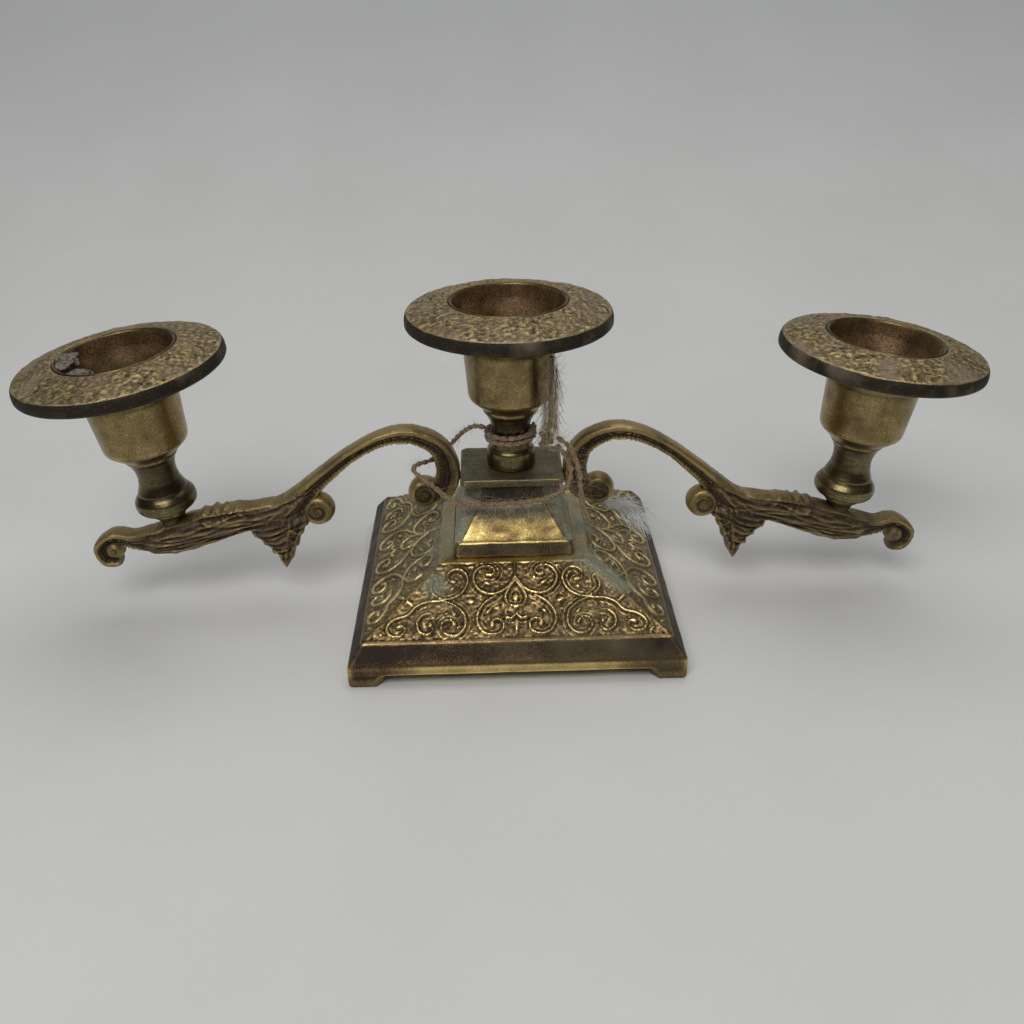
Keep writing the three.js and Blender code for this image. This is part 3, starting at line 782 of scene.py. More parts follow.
def panel_relief(across, down):
    """How far the cast pattern stands off a panel, in millimetres."""
    flat = np.stack([-np.abs(across), down], axis=1)
    raised = np.zeros(len(flat))
    for scroll in PANEL_SCROLLS:
        gap, along, side = nearest(flat, smooth(scroll, 0.3))
        half = 0.24 + 0.12 * np.sin(math.pi * np.clip(along * 1.1, 0, 1))
        half = np.where(along > 0.96, 0.55, half)
        ridge = np.sqrt(np.clip(1 - (gap / half) ** 2, 0, 1))
        hollow = 0.2 * np.exp(-((gap / 1.3) ** 2))
        fine = 0.17 * np.exp(-(((gap - 0.95) / 0.15) ** 2)) + 0.1 * np.exp(-(((gap - 1.6) / 0.15) ** 2))
        raised = np.maximum(raised, 0.38 * ridge + hollow + fine * (side < 0))
    for u, t, long, wide, turn in PANEL_LEAVES:
        c, s = math.cos(math.radians(turn)), math.sin(math.radians(turn))
        x, y = flat[:, 0] - u, flat[:, 1] - t
        a, b = (x * c + y * s) / long, (y * c - x * s) / wide
        leaf = np.clip(1 - np.abs(a) ** 1.6 - np.abs(b) ** 1.6, 0, 1) ** 0.5
        raised = np.maximum(raised, 0.42 * leaf)
    ground = np.stack([across, down, 0 * down], axis=1)
    stipple = 0.15 * lumps(ground, 0.5, 1) + 0.06 * lumps(ground, 1.1, 2)
    raised = raised + stipple * (1 - 0.6 * np.clip(raised / 0.4, 0, 1)) - 0.08
    reach = LEDGE_HALF + (RIM_HALF - LEDGE_HALF) * down / PANEL_LENGTH
    hip = np.clip((reach - np.abs(across)) / 0.7, 0, 1)
    ends = np.clip((np.minimum(PANEL_LENGTH - down, down) - 0.35) / 0.2, 0, 1)
    return raised * hip * ends


def square_ring(half, z, corner, samples, lift=None):
    """Points round a square with softened corners; z and lift vary with the place along a side."""
    share = np.linspace(-1, 1, samples, endpoint=False)
    along = share * half
    over = np.clip((np.abs(along) - (half - corner)) / corner, 0, 1) * math.pi / 4
    x = np.where(over > 0, np.sign(along) * (half - corner + corner * np.sin(over)), along)
    y = -np.where(over > 0, half - corner + corner * np.cos(over), half)
    z = z(along) if callable(z) else np.full(samples, float(z))
    out = np.stack([x, y, z], axis=1)
    if lift is not None:
        out = out + lift(along)
    turns = [(1, 0, 0, 1), (0, 1, -1, 0), (-1, 0, 0, -1), (0, -1, 1, 0)]
    return np.vstack([
        np.stack([out[:, 0] * a - out[:, 1] * b, -out[:, 0] * c + out[:, 1] * d, out[:, 2]], axis=1)
        for a, b, c, d in turns
    ])


def foot_line(along):
    """Height of the skirt's lower edge: feet at the corners and a coved apron between them."""
    inside = BASE_HALF - FOOT_LENGTH
    into = np.clip((inside - np.abs(along)) / FOOT_COVE, 0, 1)
    return APRON_Z * (1 - (1 - into) ** 2) ** 0.5 * (into > 0)


def base_mesh(samples=250):
    """The hollow base as rings: over the ledge, down the panels and skirt, and up inside."""
    slope = np.array([0, -(LEDGE_Z - RIM_Z), RIM_HALF - LEDGE_HALF]) / PANEL_LENGTH
    share = np.linspace(-1, 1, samples, endpoint=False)

    def round_hole(z):
        angle = np.arctan2(-np.ones(samples), share)
        one = np.stack([ROD_HOLE_R * np.cos(angle), ROD_HOLE_R * np.sin(angle)], axis=1)
        turns = [np.array([[1, 0], [0, 1]]), np.array([[0, -1], [1, 0]]),
                 np.array([[-1, 0], [0, -1]]), np.array([[0, 1], [-1, 0]])]
        flat = np.vstack([one @ turn.T for turn in turns])
        return np.column_stack([flat, np.full(len(flat), z)])

    def ring(half, z, corner=BASE_CORNER, lift=None):
        return square_ring(half, z, corner, samples, lift)

    rings = [round_hole(LEDGE_Z), ring(8, LEDGE_Z, 4), ring(14.6, LEDGE_Z), ring(15.2, LEDGE_Z - 0.03)]
    for down in np.linspace(0.15, PANEL_LENGTH - 0.1, 92):
        half = LEDGE_HALF + (RIM_HALF - LEDGE_HALF) * down / PANEL_LENGTH
        z = LEDGE_Z - (LEDGE_Z - RIM_Z) * down / PANEL_LENGTH

        def lift(along, down=down):
            raised = panel_relief(along, np.full(len(along), down))
            return raised[:, None] * slope

        rings.append(ring(half, z, lift=lift))
    skirt = eased(
        [(RIM_HALF - 0.2, RIM_Z + 0.12), (RIM_HALF + 0.1, RIM_Z), (BASE_HALF, SKIRT_KINK_Z),
         (BASE_HALF, APRON_Z + 0.3)], 1.0, 8)
    for half, z in refined(skirt, 0.45):
        rings.append(ring(half, z))
    low = lambda rise: (lambda along: foot_line(along * BASE_HALF / np.abs(along).max()) * rise
                        + (APRON_Z + 0.3) * (1 - rise))
    for rise in (0.25, 0.5, 0.75, 0.93, 1.0):
        inset = 0.0 if rise < 0.93 else (0.08 if rise < 1 else 0.3)
        rings.append(ring(BASE_HALF - inset, low(rise)))
    wall = BASE_HALF - BASE_WALL
    rings.append(ring(wall + 0.2, low(1.0)))
    rings.append(ring(wall, low(0.9)))
    for half, z in ((wall, SKIRT_KINK_Z - 1.0), (RIM_HALF - BASE_WALL, RIM_Z - BASE_WALL),
                    (24.0, 10.2), (LEDGE_HALF - 1.0, LEDGE_Z - BASE_WALL), (8, LEDGE_Z - BASE_WALL)):
        rings.append(ring(half, z))
    rings.append(round_hole(LEDGE_Z - BASE_WALL))
    points, faces = stacked(rings, closed=True)
    return points, [face[::-1] for face in faces]


def base_tone_and_light(points):
    """The upper skirt is brown, the hips between the panels are dull and the feet are dark. Low on each side
    the skirt is painted lighter, a painted highlight of light thrown up from below.
    """
    x, y, height = np.abs(points).T
    reach = np.maximum(x, y)
    # painted highlight: the low band of the skirt, about 3 to 4.7 mm up, is made lighter, most along the
    # middle of each side
    skirt = np.interp(height, [0.0, 2.6, 3.0, 4.4, 5.0, 8.2, 8.5],
                      [-0.42, -0.38, -0.12, -0.1, -0.34, -0.38, 0.0])
    corner = np.clip((np.minimum(x, y) - 19) / 8, 0, 1)
    skirt = skirt + np.where(height < 4.7, 0.26 - 0.46 * corner, -0.14 * corner)
    ledge = -0.24 * (height > LEDGE_Z - 0.5)
    edge = -0.2 * ((height < RIM_Z + 0.35) & (height > RIM_Z - 0.1))
    hip = -0.16 * np.exp(-(((x - y) / 0.6) ** 2))
    return np.where(reach > RIM_HALF + 0.25, skirt, hip + ledge) + edge


def base_haze(points):
    """Grey-green film: spilt at the right front corner, thin up the side panels, broken elsewhere."""
    x, y, _ = points.T
    run = nearest(points[:, :2], [(12.5, -13.2), (16.5, -14.6), (19.4, -17.2), (22.0, -20.6)])[0]
    spill = 1.3 * np.exp(-((run / 2.3) ** 2))
    drops = 1.1 * np.exp(-((x + 16.2) ** 2 + (y + 20.2) ** 2) / 5)
    beside = 0.8 * np.exp(-(((np.abs(x) - 14.5) / 4.5) ** 2)) * (np.abs(x) > np.abs(y))
    behind = 0.3 * (np.abs(x) > np.abs(y) + 1) * (np.abs(x) < RIM_HALF)
    return np.maximum.reduce([spill, drops, beside, behind]) * (1 + 0.4 * lumps(points, 5, 15))


points, faces = base_mesh()
piece("base_casting_body", points, faces, "base", cast_base_brass,
      hides=["base_casting"], swell=lambda p: 0.05 * lumps(p, 4.0, 5), rounds=10, scale=0.32,
      tone=base_tone_and_light, haze=base_haze)


# ---- Pedestal and plate ----
def eight_sided(half_x, half_y, chamfer, z, samples=18, soft=0.3):
    """A ring of points: a rectangle with cut and slightly rounded corners."""
    corners = []
    for sx, sy in ((1, -1), (1, 1), (-1, 1), (-1, -1)):
        pair = [(sx * (half_x - chamfer), sy * half_y), (sx * half_x, sy * (half_y - chamfer))]
        corners.extend(pair if sx * sy < 0 else pair[::-1])
    corners = np.array(corners)
    out = []
    for i, corner in enumerate(corners):
        before, after = corners[i - 1], corners[(i + 1) % 8]
        a = corner + (before - corner) * min(0.3, soft / np.linalg.norm(before - corner))
        b = corner + (after - corner) * min(0.3, soft / np.linalg.norm(after - corner))
        for t in np.linspace(0, 1, 4):
            out.append((1 - t) ** 2 * a + 2 * t * (1 - t) * corner + t * t * b)
        c = after + (corner - after) * min(0.3, soft / np.linalg.norm(corner - after))
        for t in np.linspace(0, 1, samples + 2)[1:-1]:
            out.append(b + (c - b) * t)
    return np.column_stack([np.array(out), np.full(len(out), z)])


def lofted(levels, reach, step):
    """A solid through levels of (half x, half y, chamfer, height)."""
    rows = refined(eased([(x, z, y, c) for x, y, c, z in levels], reach), step)
    return stacked([eight_sided(x, y, c, z) for x, z, y, c in rows])


points, faces = lofted(
    [
        (PLINTH_HALF_X - 0.4, PLINTH_HALF_Y - 0.4, 0.9, LEDGE_Z),
        (PLINTH_HALF_X, PLINTH_HALF_Y, 0.9, LEDGE_Z + 0.25),
        (PLINTH_HALF_X - BAND_TAPER + 0.1, PLINTH_HALF_Y - BAND_TAPER + 0.1, 0.9,
         LEDGE_Z + PLINTH_BAND - 0.1),
        (PLINTH_HALF_X - 1.0, PLINTH_HALF_Y - 1.2, 1.2, LEDGE_Z + PLINTH_BAND + 0.35),
        (NECK_HALF_X, NECK_HALF_Y, NECK_CHAMFER, PEDESTAL_TOP_Z),
        (NECK_HALF_X - 1, NECK_HALF_Y - 1, NECK_CHAMFER, PEDESTAL_TOP_Z),
    ],
    0.3,
    0.4,
)


def on_front(p):
    """True on the front and back slopes of the pedestal and of the stub above it."""
    slope = [LEDGE_Z + PLINTH_BAND, PEDESTAL_TOP_Z]
    edge = np.interp(p[:, 2], slope, [PLINTH_HALF_X - 2.0, NECK_HALF_X - NECK_CHAMFER])
    depth = np.interp(p[:, 2], slope, [PLINTH_HALF_Y - 1.2, NECK_HALF_Y])
    return (np.abs(p[:, 0]) < edge + 0.25) & (np.abs(p[:, 1]) > depth - 0.7)


def pedestal_tone_and_light(p):
    """Brown band round the foot; the front slope carries a painted reflection, gold low down, and painted
    shade, dull near its top.
    """
    # painted reflection low on the front slope, fading to painted shade near its top
    gold = np.interp(p[:, 2], [21.0, 23.6, 25.2, 27.0], [0.12, 0.05, -0.16, -0.3])
    band = p[:, 2] < LEDGE_Z + PLINTH_BAND - 0.25
    return np.where(band, -0.26, np.where(on_front(p), gold, -0.15))


def pedestal_haze(p):
    """Wax has run down the cut corners and the sides and set there, grey-green."""
    band = p[:, 2] < LEDGE_Z + PLINTH_BAND - 0.1
    front = np.interp(p[:, 2], [23.5, 26.5], [0.0, 0.35])
    return np.where(band, 0.12, np.where(on_front(p), front, 0.9))


piece("pedestal_body", points, faces, "base", pedestal_brass, hides=["pedestal"],
      swell=lambda p: 0.07 * lumps(p * [1, 1, 2.2], 1.7, 6) + 0.05 * lumps(p, 4, 7),
      rounds=10, scale=0.5, tone=pedestal_tone_and_light, haze=pedestal_haze, crease=50)

points, faces = lofted(
    [
        (NECK_HALF_X - 0.6, NECK_HALF_Y - 0.6, NECK_CHAMFER, PEDESTAL_TOP_Z + 0.02),
        (NECK_HALF_X - 0.2, NECK_HALF_Y - 0.2, NECK_CHAMFER, PEDESTAL_TOP_Z + 0.3),
        (NECK_HALF_X - 0.5, NECK_HALF_Y - 0.5, NECK_CHAMFER, PLATE_UNDER_Z - 0.3),
        (NECK_HALF_X - 0.2, NECK_HALF_Y - 0.2, NECK_CHAMFER - 0.6, PLATE_UNDER_Z),
        (PLATE_HALF_X, PLATE_HALF_Y, 0.9, PLATE_UNDER_Z + 0.1),
        (PLATE_HALF_X, PLATE_HALF_Y, 0.9, HUB_TOP_Z),
        (PLATE_HALF_X - 2, PLATE_HALF_Y - 2, 0.9, HUB_TOP_Z),
    ],
    0.35,
    0.4,
)
piece("crosspiece_hub_body", points, faces, "crosspiece", hub_brass,
      hides=["crosspiece_hub"],
      swell=lambda p: 0.06 * lumps(p, 1.6, 8) + 0.06 * lumps(p, 4, 9), rounds=10, scale=0.5,
      # painted shade: the stub under the plate is darkened where the plate shades it
      tone=lambda p: np.where(p[:, 2] < PLATE_UNDER_Z, -0.3, 0.0), crease=50,
      haze=lambda p: np.where(p[:, 2] > PLATE_UNDER_Z, 0.25, np.where(on_front(p), 0.1, 0.85)))


# ---- Arms ----
ARCH = [(17.2, 25.2, 2.4), (14.3, 28.2, 2.6), (13.8, 32.6, 2.5), (16.0, 37.2, 2.1),
        (21.6, 39.7, 1.8), (27.5, 38.9, 1.6), (34.0, 35.4, 1.5), (40.0, 30.5, 1.8),
        (45.0, 26.0, 2.1), (49.6, 23.3, 1.6), (55.0, 22.3, 1.0), (60.0, 21.4, 0.5)]
TAIL = [(76.0, 15.0, 3.0), (82.0, 14.9, 1.9), (86.0, 15.7, 1.6), (89.2, 13.4, 1.5),
        (88.2, 10.4, 1.4), (85.4, 10.3, 1.2)]
LEAF_TIP = [(83.5, 16.6), (81.5, 12.8)]
LEAF = [(40.5, 27.5), (45.5, 27.4), (48.2, 25.7), (51.2, 24.5), (55.0, 24.0), (58.6, 23.6),
        (60.6, 23.3), (61.6, 23.5), (62.6, 22.9), (63.8, 23.3), (64.8, 22.4), (66.2, 22.6),
        (67.2, 21.7), (68.4, 21.5), (72.0, 20.4), (77.0, 18.3), *LEAF_TIP, (77.5, 11.9), (73.0, 11.8),
        (69.0, 12.9), (65.0, 14.4), (61.0, 15.9), (57.0, 17.4), (51.0, 18.0), (45.5, 18.6)]
DROP = [(46.4, 25.4), (43.8, 21.0), (44.2, 18.9), (45.0, 18.4), (45.5, 16.4), (46.3, 15.8), (46.7, 13.6),
        (47.4, 13.0), (48.0, 10.6), (49.8, 7.6), (51.1, 10.0), (51.3, 11.2), (52.6, 12.0),
        (52.9, 13.3), (54.2, 13.9), (54.6, 15.2), (56.0, 15.7), (56.6, 17.0), (56.5, 19.6),
        (51.0, 22.6), (49.6, 25.2)]
VOLUTES = [(18.8, 26.3, 3.5), (41.9, 22.3, 3.6), (86.3, 12.9, 2.1)]
LEAF_VEINS = [
    [(46.5, 26.0), (52.0, 23.3), (57.5, 22.9), (63.0, 22.0), (69.0, 20.4), (74.0, 18.6)],
    [(47.0, 24.2), (53.0, 21.9), (59.0, 21.0), (65.0, 19.6), (71.0, 17.6), (78.0, 16.4)],
    [(49.0, 21.6), (55.0, 19.8), (61.0, 18.3), (67.0, 16.6), (73.0, 15.3), (80.0, 15.0)],
    [(54.0, 18.4), (60.0, 17.0), (66.0, 15.0), (72.0, 13.4), (78.0, 13.2)],
    [(57.0, 21.4), (58.6, 22.6), (59.6, 23.8)],
    [(61.0, 20.6), (62.4, 21.8), (63.4, 23.2)],
    [(65.0, 19.7), (66.4, 20.7), (67.4, 22.0)],
    [(56.0, 20.4), (61.0, 19.8), (66.0, 18.0), (71.0, 16.4), (76.0, 15.9)],
    [(57.0, 17.9), (62.0, 17.5), (67.0, 15.7), (72.0, 14.4)],
    [(46.2, 24.6), (48.6, 22.0), (49.6, 18.8)],
    [(48.2, 24.4), (51.6, 21.6), (53.6, 18.2)],
]
DROP_VEINS = [
    [(47.8, 25.2), (48.0, 20.0), (48.9, 15.0), (49.7, 9.0)],
    [(45.4, 23.6), (44.9, 20.6), (46.0, 18.6)],
    [(50.9, 22.6), (53.6, 19.8), (56.0, 18.4)],
    [(48.2, 18.6), (46.4, 17.0), (45.3, 17.4)],
    [(48.6, 16.2), (47.4, 14.6), (46.6, 14.6)],
    [(49.2, 13.2), (48.4, 11.6), (47.9, 11.8)],
    [(48.6, 18.8), (51.8, 17.4), (55.6, 16.6)],
    [(48.9, 16.6), (51.2, 15.2), (53.8, 14.5)],
    [(49.2, 14.2), (50.8, 12.6), (52.2, 12.4)],
]


def strip_outline(strip):
    """The outline of a strip given as (x, z, half width) points along its middle."""
    line = smooth(strip, 0.35)
    ahead = np.gradient(line[:, :2], axis=0)
    ahead /= np.linalg.norm(ahead, axis=1)[:, None]
    left = np.stack([-ahead[:, 1], ahead[:, 0]], axis=1)
    half = line[:, 2:3]
    return np.vstack([line[:, :2] + left * half, (line[:, :2] - left * half)[::-1]])


def circle(x, y, radius):
    """Points round a circle."""
    angle = np.linspace(0, 2 * math.pi, 60, endpoint=False)
    return np.stack([x + radius * np.cos(angle), y + radius * np.sin(angle)], axis=1)


def moulding(points, strip, ends):
    """Height of an arm's moulded strip: a half round, a fine raised line and a notched hollow."""
    line = smooth(strip, 0.3)
    gap, along, side = nearest(points, line)
    half = np.interp(along, np.linspace(0, 1, len(line)), line[:, 2])
    place = side * gap / half
    run = along * len(line) * 0.3
    bead = 0.62 + 0.36 * np.sqrt(np.clip(1 - ((place - 0.56) / 0.46) ** 2, 0, 1))
    fine = 0.62 + 0.27 * np.exp(-((place / 0.07) ** 2))
    notched = 0.56 + 0.03 * np.cos(2 * math.pi * (run / 0.95 + place * 0.4)) * (place > -0.8)
    lip = 0.72 * np.exp(-(((place + 0.92) / 0.1) ** 2))
    height = np.where(place > 0.1, bead, np.maximum(notched, lip))
    height = np.maximum(height, fine * (np.abs(place) < 0.16))
    start, stop = ends
    sunk = np.clip((along - start) / 0.12 + 0.3, 0, 1) * np.clip((stop - along) / 0.12 + 0.3, 0, 1)
    return np.where(gap < half * 1.03, height * sunk, 0)


def joined(first, second, blend=0.5):
    """The higher of two heights, with the valley between them filled in."""
    near = np.clip(blend - np.abs(first - second), 0, None)
    both = (first > 0.2) & (second > 0.2)
    return np.maximum(first, second) + both * near**2 / (4 * blend)


def arm_height(points, rim):
    """Half the arm's thickness at each point. rim is the distance to the outline."""
    height = 2.3 * moulding(points, ARCH, (-1, 0.9))
    height = joined(height, 2.3 * moulding(points, TAIL, (0.1, 2)))
    for x, y, radius in VOLUTES:
        gap = np.hypot(points[:, 0] - x, points[:, 1] - y)
        angle = np.arctan2(points[:, 1] - y, points[:, 0] - x)
        rounded = np.sqrt(np.clip(1 - (np.clip(gap - radius + 1.3, 0, 2) / 1.3) ** 2, 0, 1))
        coil = 0.07 * np.cos(2 * math.pi * (gap / (radius * 0.36) - angle / (2 * math.pi)))
        eye = 0.16 * np.sqrt(np.clip(1 - (gap / (radius * 0.3)) ** 2, 0, 1))
        dome = 0.25 * np.sqrt(np.clip(1 - (gap / radius) ** 2, 0, 1))
        disc = 2.1 * rounded + dome + coil * (gap > radius * 0.25) * (gap < radius - 0.5) + eye
        height = joined(height, np.where(gap < radius, disc, 0), 0.3)
    across = points @ np.array([[0.24, 0.97], [0.97, -0.24]]).T
    wander = lumps(np.column_stack([across[:, 1] / 5, across[:, 0] / 2.2, 0 * rim]), 1, 41)
    waves = across[:, 0] / 0.5 + 1.6 * wander
    streaks = lumps(np.column_stack([across[:, 1] / 3.5, waves, 0 * rim]), 1, 42)
    for outline, veins, full, lift, ends in (
        (LEAF, LEAF_VEINS, 3.4, 0.28, ((LEAF[-1], LEAF[0]), LEAF_TIP)),
        (DROP, DROP_VEINS, 3.0, 0.22, ((DROP[0], DROP[-1]),)),
    ):
        inside = within(points, np.array(outline))
        gap, _, _ = nearest(points, np.vstack([outline, outline[:1]]))
        crown = 1.1 + (full - 1.1) * np.sqrt(np.clip(gap / 2.8, 0, 1))
        crown = crown + 0.26 * np.exp(-(((gap - 0.6) / 0.25) ** 2))
        crown = crown - 0.24 * np.exp(-(((gap - 1.15) / 0.25) ** 2))
        hem = np.min([nearest(points, np.array(end))[0] for end in ends], axis=0)
        fade = np.clip(hem / 4.5, 0, 1)
        crown = 0.6 + (crown - 0.6) * fade * fade * (3 - 2 * fade)
        vein_gap = np.full(len(points), 9.0)
        for vein in veins:
            vein_gap = np.minimum(vein_gap, nearest(points, smooth(vein, 0.3))[0])
        ridge = lift * np.exp(-((vein_gap / 0.26) ** 2)) - 0.2 * np.exp(-(((vein_gap - 0.62) / 0.28) ** 2))
        height = joined(height, np.where(inside, crown + (ridge + 0.36 * streaks) * fade, 0))
    edge = 0.75 + np.sqrt(np.clip(np.minimum(rim, 1.4) * (2.8 - np.minimum(rim, 1.4)), 0, None)) * 2.2
    return np.minimum(height, edge)


def arm_plate():
    """The arm's two faces on one net of triangles, joined round the outline."""
    outlines = [strip_outline(ARCH), strip_outline(TAIL), np.array(LEAF), np.array(DROP)]
    outlines = [refined(np.vstack([o, o[:1]]), 0.4)[:-1] for o in outlines]
    outlines += [circle(*volute) for volute in VOLUTES]
    step = 0.24
    xs, ys = np.meshgrid(np.arange(10, 92, step), np.arange(6, 43, step))
    xs[::2] += step / 2
    net = np.stack([xs.ravel(), ys.ravel()], axis=1)
    keep = np.zeros(len(net), bool)
    for outline in outlines:
        keep |= within(net, outline)
    net = net[keep]
    for outline in outlines:
        net = net[nearest(net, np.vstack([outline, outline[:1]]))[0] > 0.09]
    loops, corners = [], []
    for outline in outlines:
        loops.append(list(range(len(corners), len(corners) + len(outline))))
        corners.extend(outline.tolist())
    found = delaunay_2d_cdt([Vector(p) for p in corners + net.tolist()], [], loops, 1, 1e-4)
    flat = np.array([tuple(v) for v in found[0]])
    triangles = np.array([tuple(t) for t in found[2]])
    used = np.unique(triangles)
    flat, triangles = flat[used], np.searchsorted(used, triangles)
    a, b, c = (flat[triangles[:, i]] for i in range(3))
    area = (b[:, 0] - a[:, 0]) * (c[:, 1] - a[:, 1]) - (b[:, 1] - a[:, 1]) * (c[:, 0] - a[:, 0])
    triangles[area < 0] = triangles[area < 0][:, ::-1]
    edges = np.vstack([triangles[:, [0, 1]], triangles[:, [1, 2]], triangles[:, [2, 0]]])
    known = {tuple(e) for e in edges.tolist()}
    rim = [e for e in known if (e[1], e[0]) not in known]
    ends = flat[np.array(rim)]
    gap = np.empty(len(flat))
    for first in range(0, len(flat), AT_ONCE):
        some = flat[first : first + AT_ONCE, None]
        run = ends[:, 1] - ends[:, 0]
        part = np.clip(((some - ends[:, 0]) * run).sum(axis=2) / (run**2).sum(axis=1), 0, 1)
        gap[first : first + AT_ONCE] = np.linalg.norm(
            some - ends[:, 0] - part[..., None] * run, axis=2).min(axis=1)
    half = arm_height(flat, gap)
    count = len(flat)
    front = np.column_stack([flat[:, 0], -half, flat[:, 1]])
    back = np.column_stack([flat[:, 0], half, flat[:, 1]])
    faces = triangles.tolist() + (triangles[:, ::-1] + count).tolist()
    faces += [(b, a, a + count, b + count) for a, b in rim]
    return np.vstack([front, back]), faces


def spin(angle, axis):
    """A turn of that many degrees."""
    return Matrix.Rotation(math.radians(angle), 4, axis)


def arm_place(arm):
    """Where an arm lies, turned about its pin in the hub."""
    side = arm["side"]
    pin = Matrix.Translation((side * ARM_PIN_X, 0, ARM_PIN_Z))
    return pin @ spin(-side * arm["swing"], "Z") @ spin(-side * arm["raised"], "Y") @ pin.inverted()


def seat_place(arm):
    """Where an outer stem stands on its arm."""
    side = arm["side"]
    seat = arm_place(arm) @ Vector((side * (SEAT_X + arm["reach"]), 0, SEAT_Z))
    return Matrix.Translation(seat) @ spin(arm["forward"], "X") @ spin(side * arm["lean"], "Y")


arm_points, arm_faces = arm_plate()
for name, arm in ARMS.items():
    placed = arm_place(arm)
    points = arm_points.copy()
    reach = np.clip((points[:, 0] - 46) / 20, 0, 1)
    points[:, 0] += arm["reach"] * reach
    if arm["side"] < 0:
        points[:, :2] *= -1
    swell = lambda p: 0.05 * lumps(p, 0.8, 12) + 0.05 * lumps(p, 2.4, 13)
    piece(f"{name}_arm_casting", points, arm_faces, "crosspiece", cast_arm_brass,
          hides=[f"{name}_arm"], place=placed, swell=swell, rounds=8, scale=0.46, crease=60,
          tone=lambda p: -0.14 * (np.abs(p[:, 0]) < 21) - 0.1 * (np.abs(p[:, 0]) > 78),
          haze=lambda p: np.where((np.abs(p[:, 0]) > 44) & (np.abs(p[:, 0]) < 86), 0.5, 0.22)
          * (1 + 0.6 * lumps(p, 3, 16)))
    boss = refined(eased([(0, -5), (1.9, -5), (2.3, -3.6), (2.9, -2.0), (4.0, -0.9), (4.3, 0.05),
                          (0, 0.05)], 0.5), 0.5)
    points, faces = turned(boss, 96)
    piece(f"{name}_arm_seat", points, faces, "crosspiece", cast_arm_brass,
          place=seat_place(arm), swell=lambda p: 0.1 * lumps(p, 1.5, 14), rounds=8)


# ---- Candle holders ----
OUTER_STEM = [(0, 0), (4.3, 0), (5.7, 0.35), (6.35, 1.1), (6.5, 2.0), (6.35, 3.0), (5.75, 3.9),
              (5.3, 4.35), (5.1, 4.5), (5.15, 4.85), (4.8, 5.6), (4.35, 6.8), (4.1, 8.4),
              (4.15, 9.6), (4.4, 10.8), (4.9, 12.0), (5.5, 12.7), (5.5, 13.35), (0, 13.35)]
CENTRE_STEM = [(0, 0), (4.7, 0), (5.15, 0.35), (5.2, 1.0), (5.15, 3.0), (5.05, 3.8), (4.7, 4.3),
               (4.4, 4.5), (4.35, 4.9), (4.2, 6.0), (4.1, 8.0), (4.15, 9.4), (4.5, 10.6),
               (5.1, 11.8), (5.8, 12.6), (5.85, 13.35), (0, 13.35)]
CUP = [(0, CUP_FOOT_AT), (5.9, CUP_FOOT_AT), (8.4, 15.55), (8.7, 16.2), (9.3, 24.0), (9.5, 26.6),
       (10.4, 28.3), (12.6, 29.6), (12.85, 29.9), (12.85, 31.2), (LIP_R, 31.2), (LIP_R, LIP_AT - 0.15),
       (MOUTH_R + 0.45, LIP_AT), (MOUTH_R, LIP_AT - 0.3), (MOUTH_R - 0.6, 33.2), (8.4, 27.5),
       (SOCKET_R + 0.2, 23.4), (SOCKET_R, CUP_FLOOR_AT + 0.4), (SOCKET_R - 0.5, CUP_FLOOR_AT),
       (0, CUP_FLOOR_AT)]
PAN_EDGE = PAN_UNDER_AT + PAN_RIM
PAN = [(LIP_R + 0.05, PAN_UNDER_AT), (PAN_R - 0.5, PAN_UNDER_AT), (PAN_R, PAN_UNDER_AT + 0.45),
       (PAN_R, PAN_UNDER_AT + 1.6), (PAN_R - 0.2, PAN_EDGE - 0.5), (PAN_R - 0.55, PAN_EDGE),
       (PAN_R - 1.5, PAN_EDGE + 0.22), (PAN_R - 2.4, PAN_EDGE + 0.5), (PAN_R - 4.6, PAN_EDGE + 1.25),
       (LIP_R + 1.2, PAN_EDGE + PAN_DOME - 0.15), (LIP_R + 0.3, PAN_EDGE + PAN_DOME - 0.1),
       (LIP_R + 0.05, PAN_EDGE + PAN_DOME - 0.5)]


def crust(seed):
    """Flaky deposit on a pan's top, in patches, thinning out toward the hole and toward the rim."""
    def grow(p):
        radius = np.hypot(p[:, 0], p[:, 1])
        top = (p[:, 2] > PAN_EDGE - 0.1) & (radius > LIP_R + 0.4) & (radius < PAN_R - 0.3)
        ease = np.clip((PAN_R - 0.3 - radius) / 0.7, 0, 1) * np.clip((radius - LIP_R - 0.4) / 0.5, 0, 1)
        flake = np.abs(lumps(p, 3.2, seed)) * 0.4 + np.abs(lumps(p, 1.3, seed + 1)) * 0.3
        fine = lumps(p, 0.6, seed + 2) * 0.1 + lumps(p, 0.33, seed + 3) * 0.06
        return np.where(top, ease * (0.5 * flake + fine - 0.06), 0.02 * lumps(p, 3, seed))
    return grow


def nut_mesh(across, low, high, hole):
    """A hexagon nut with its corners turned off, as rings of one six-sided outline."""
    angle = np.linspace(0, 2 * math.pi, 96, endpoint=False)
    flat = across / 2 * math.cos(math.pi / 6)
    hexagon = flat / np.cos((angle + math.pi / 6) % (math.pi / 3) - math.pi / 6)
    rounds = lambda radius, z: np.column_stack([
        radius * np.cos(angle), radius * np.sin(angle), np.full(len(angle), z)])
    trimmed = np.minimum(hexagon, flat + 0.15)
    rings = [rounds(hole, low), rounds(hole + 0.4, low), rounds(trimmed, low),
             rounds(hexagon, low + 0.35), rounds(hexagon, high - 0.35), rounds(trimmed, high),
             rounds(hole + 0.4, high), rounds(hole, high)]
    return stacked(rings, closed=True)


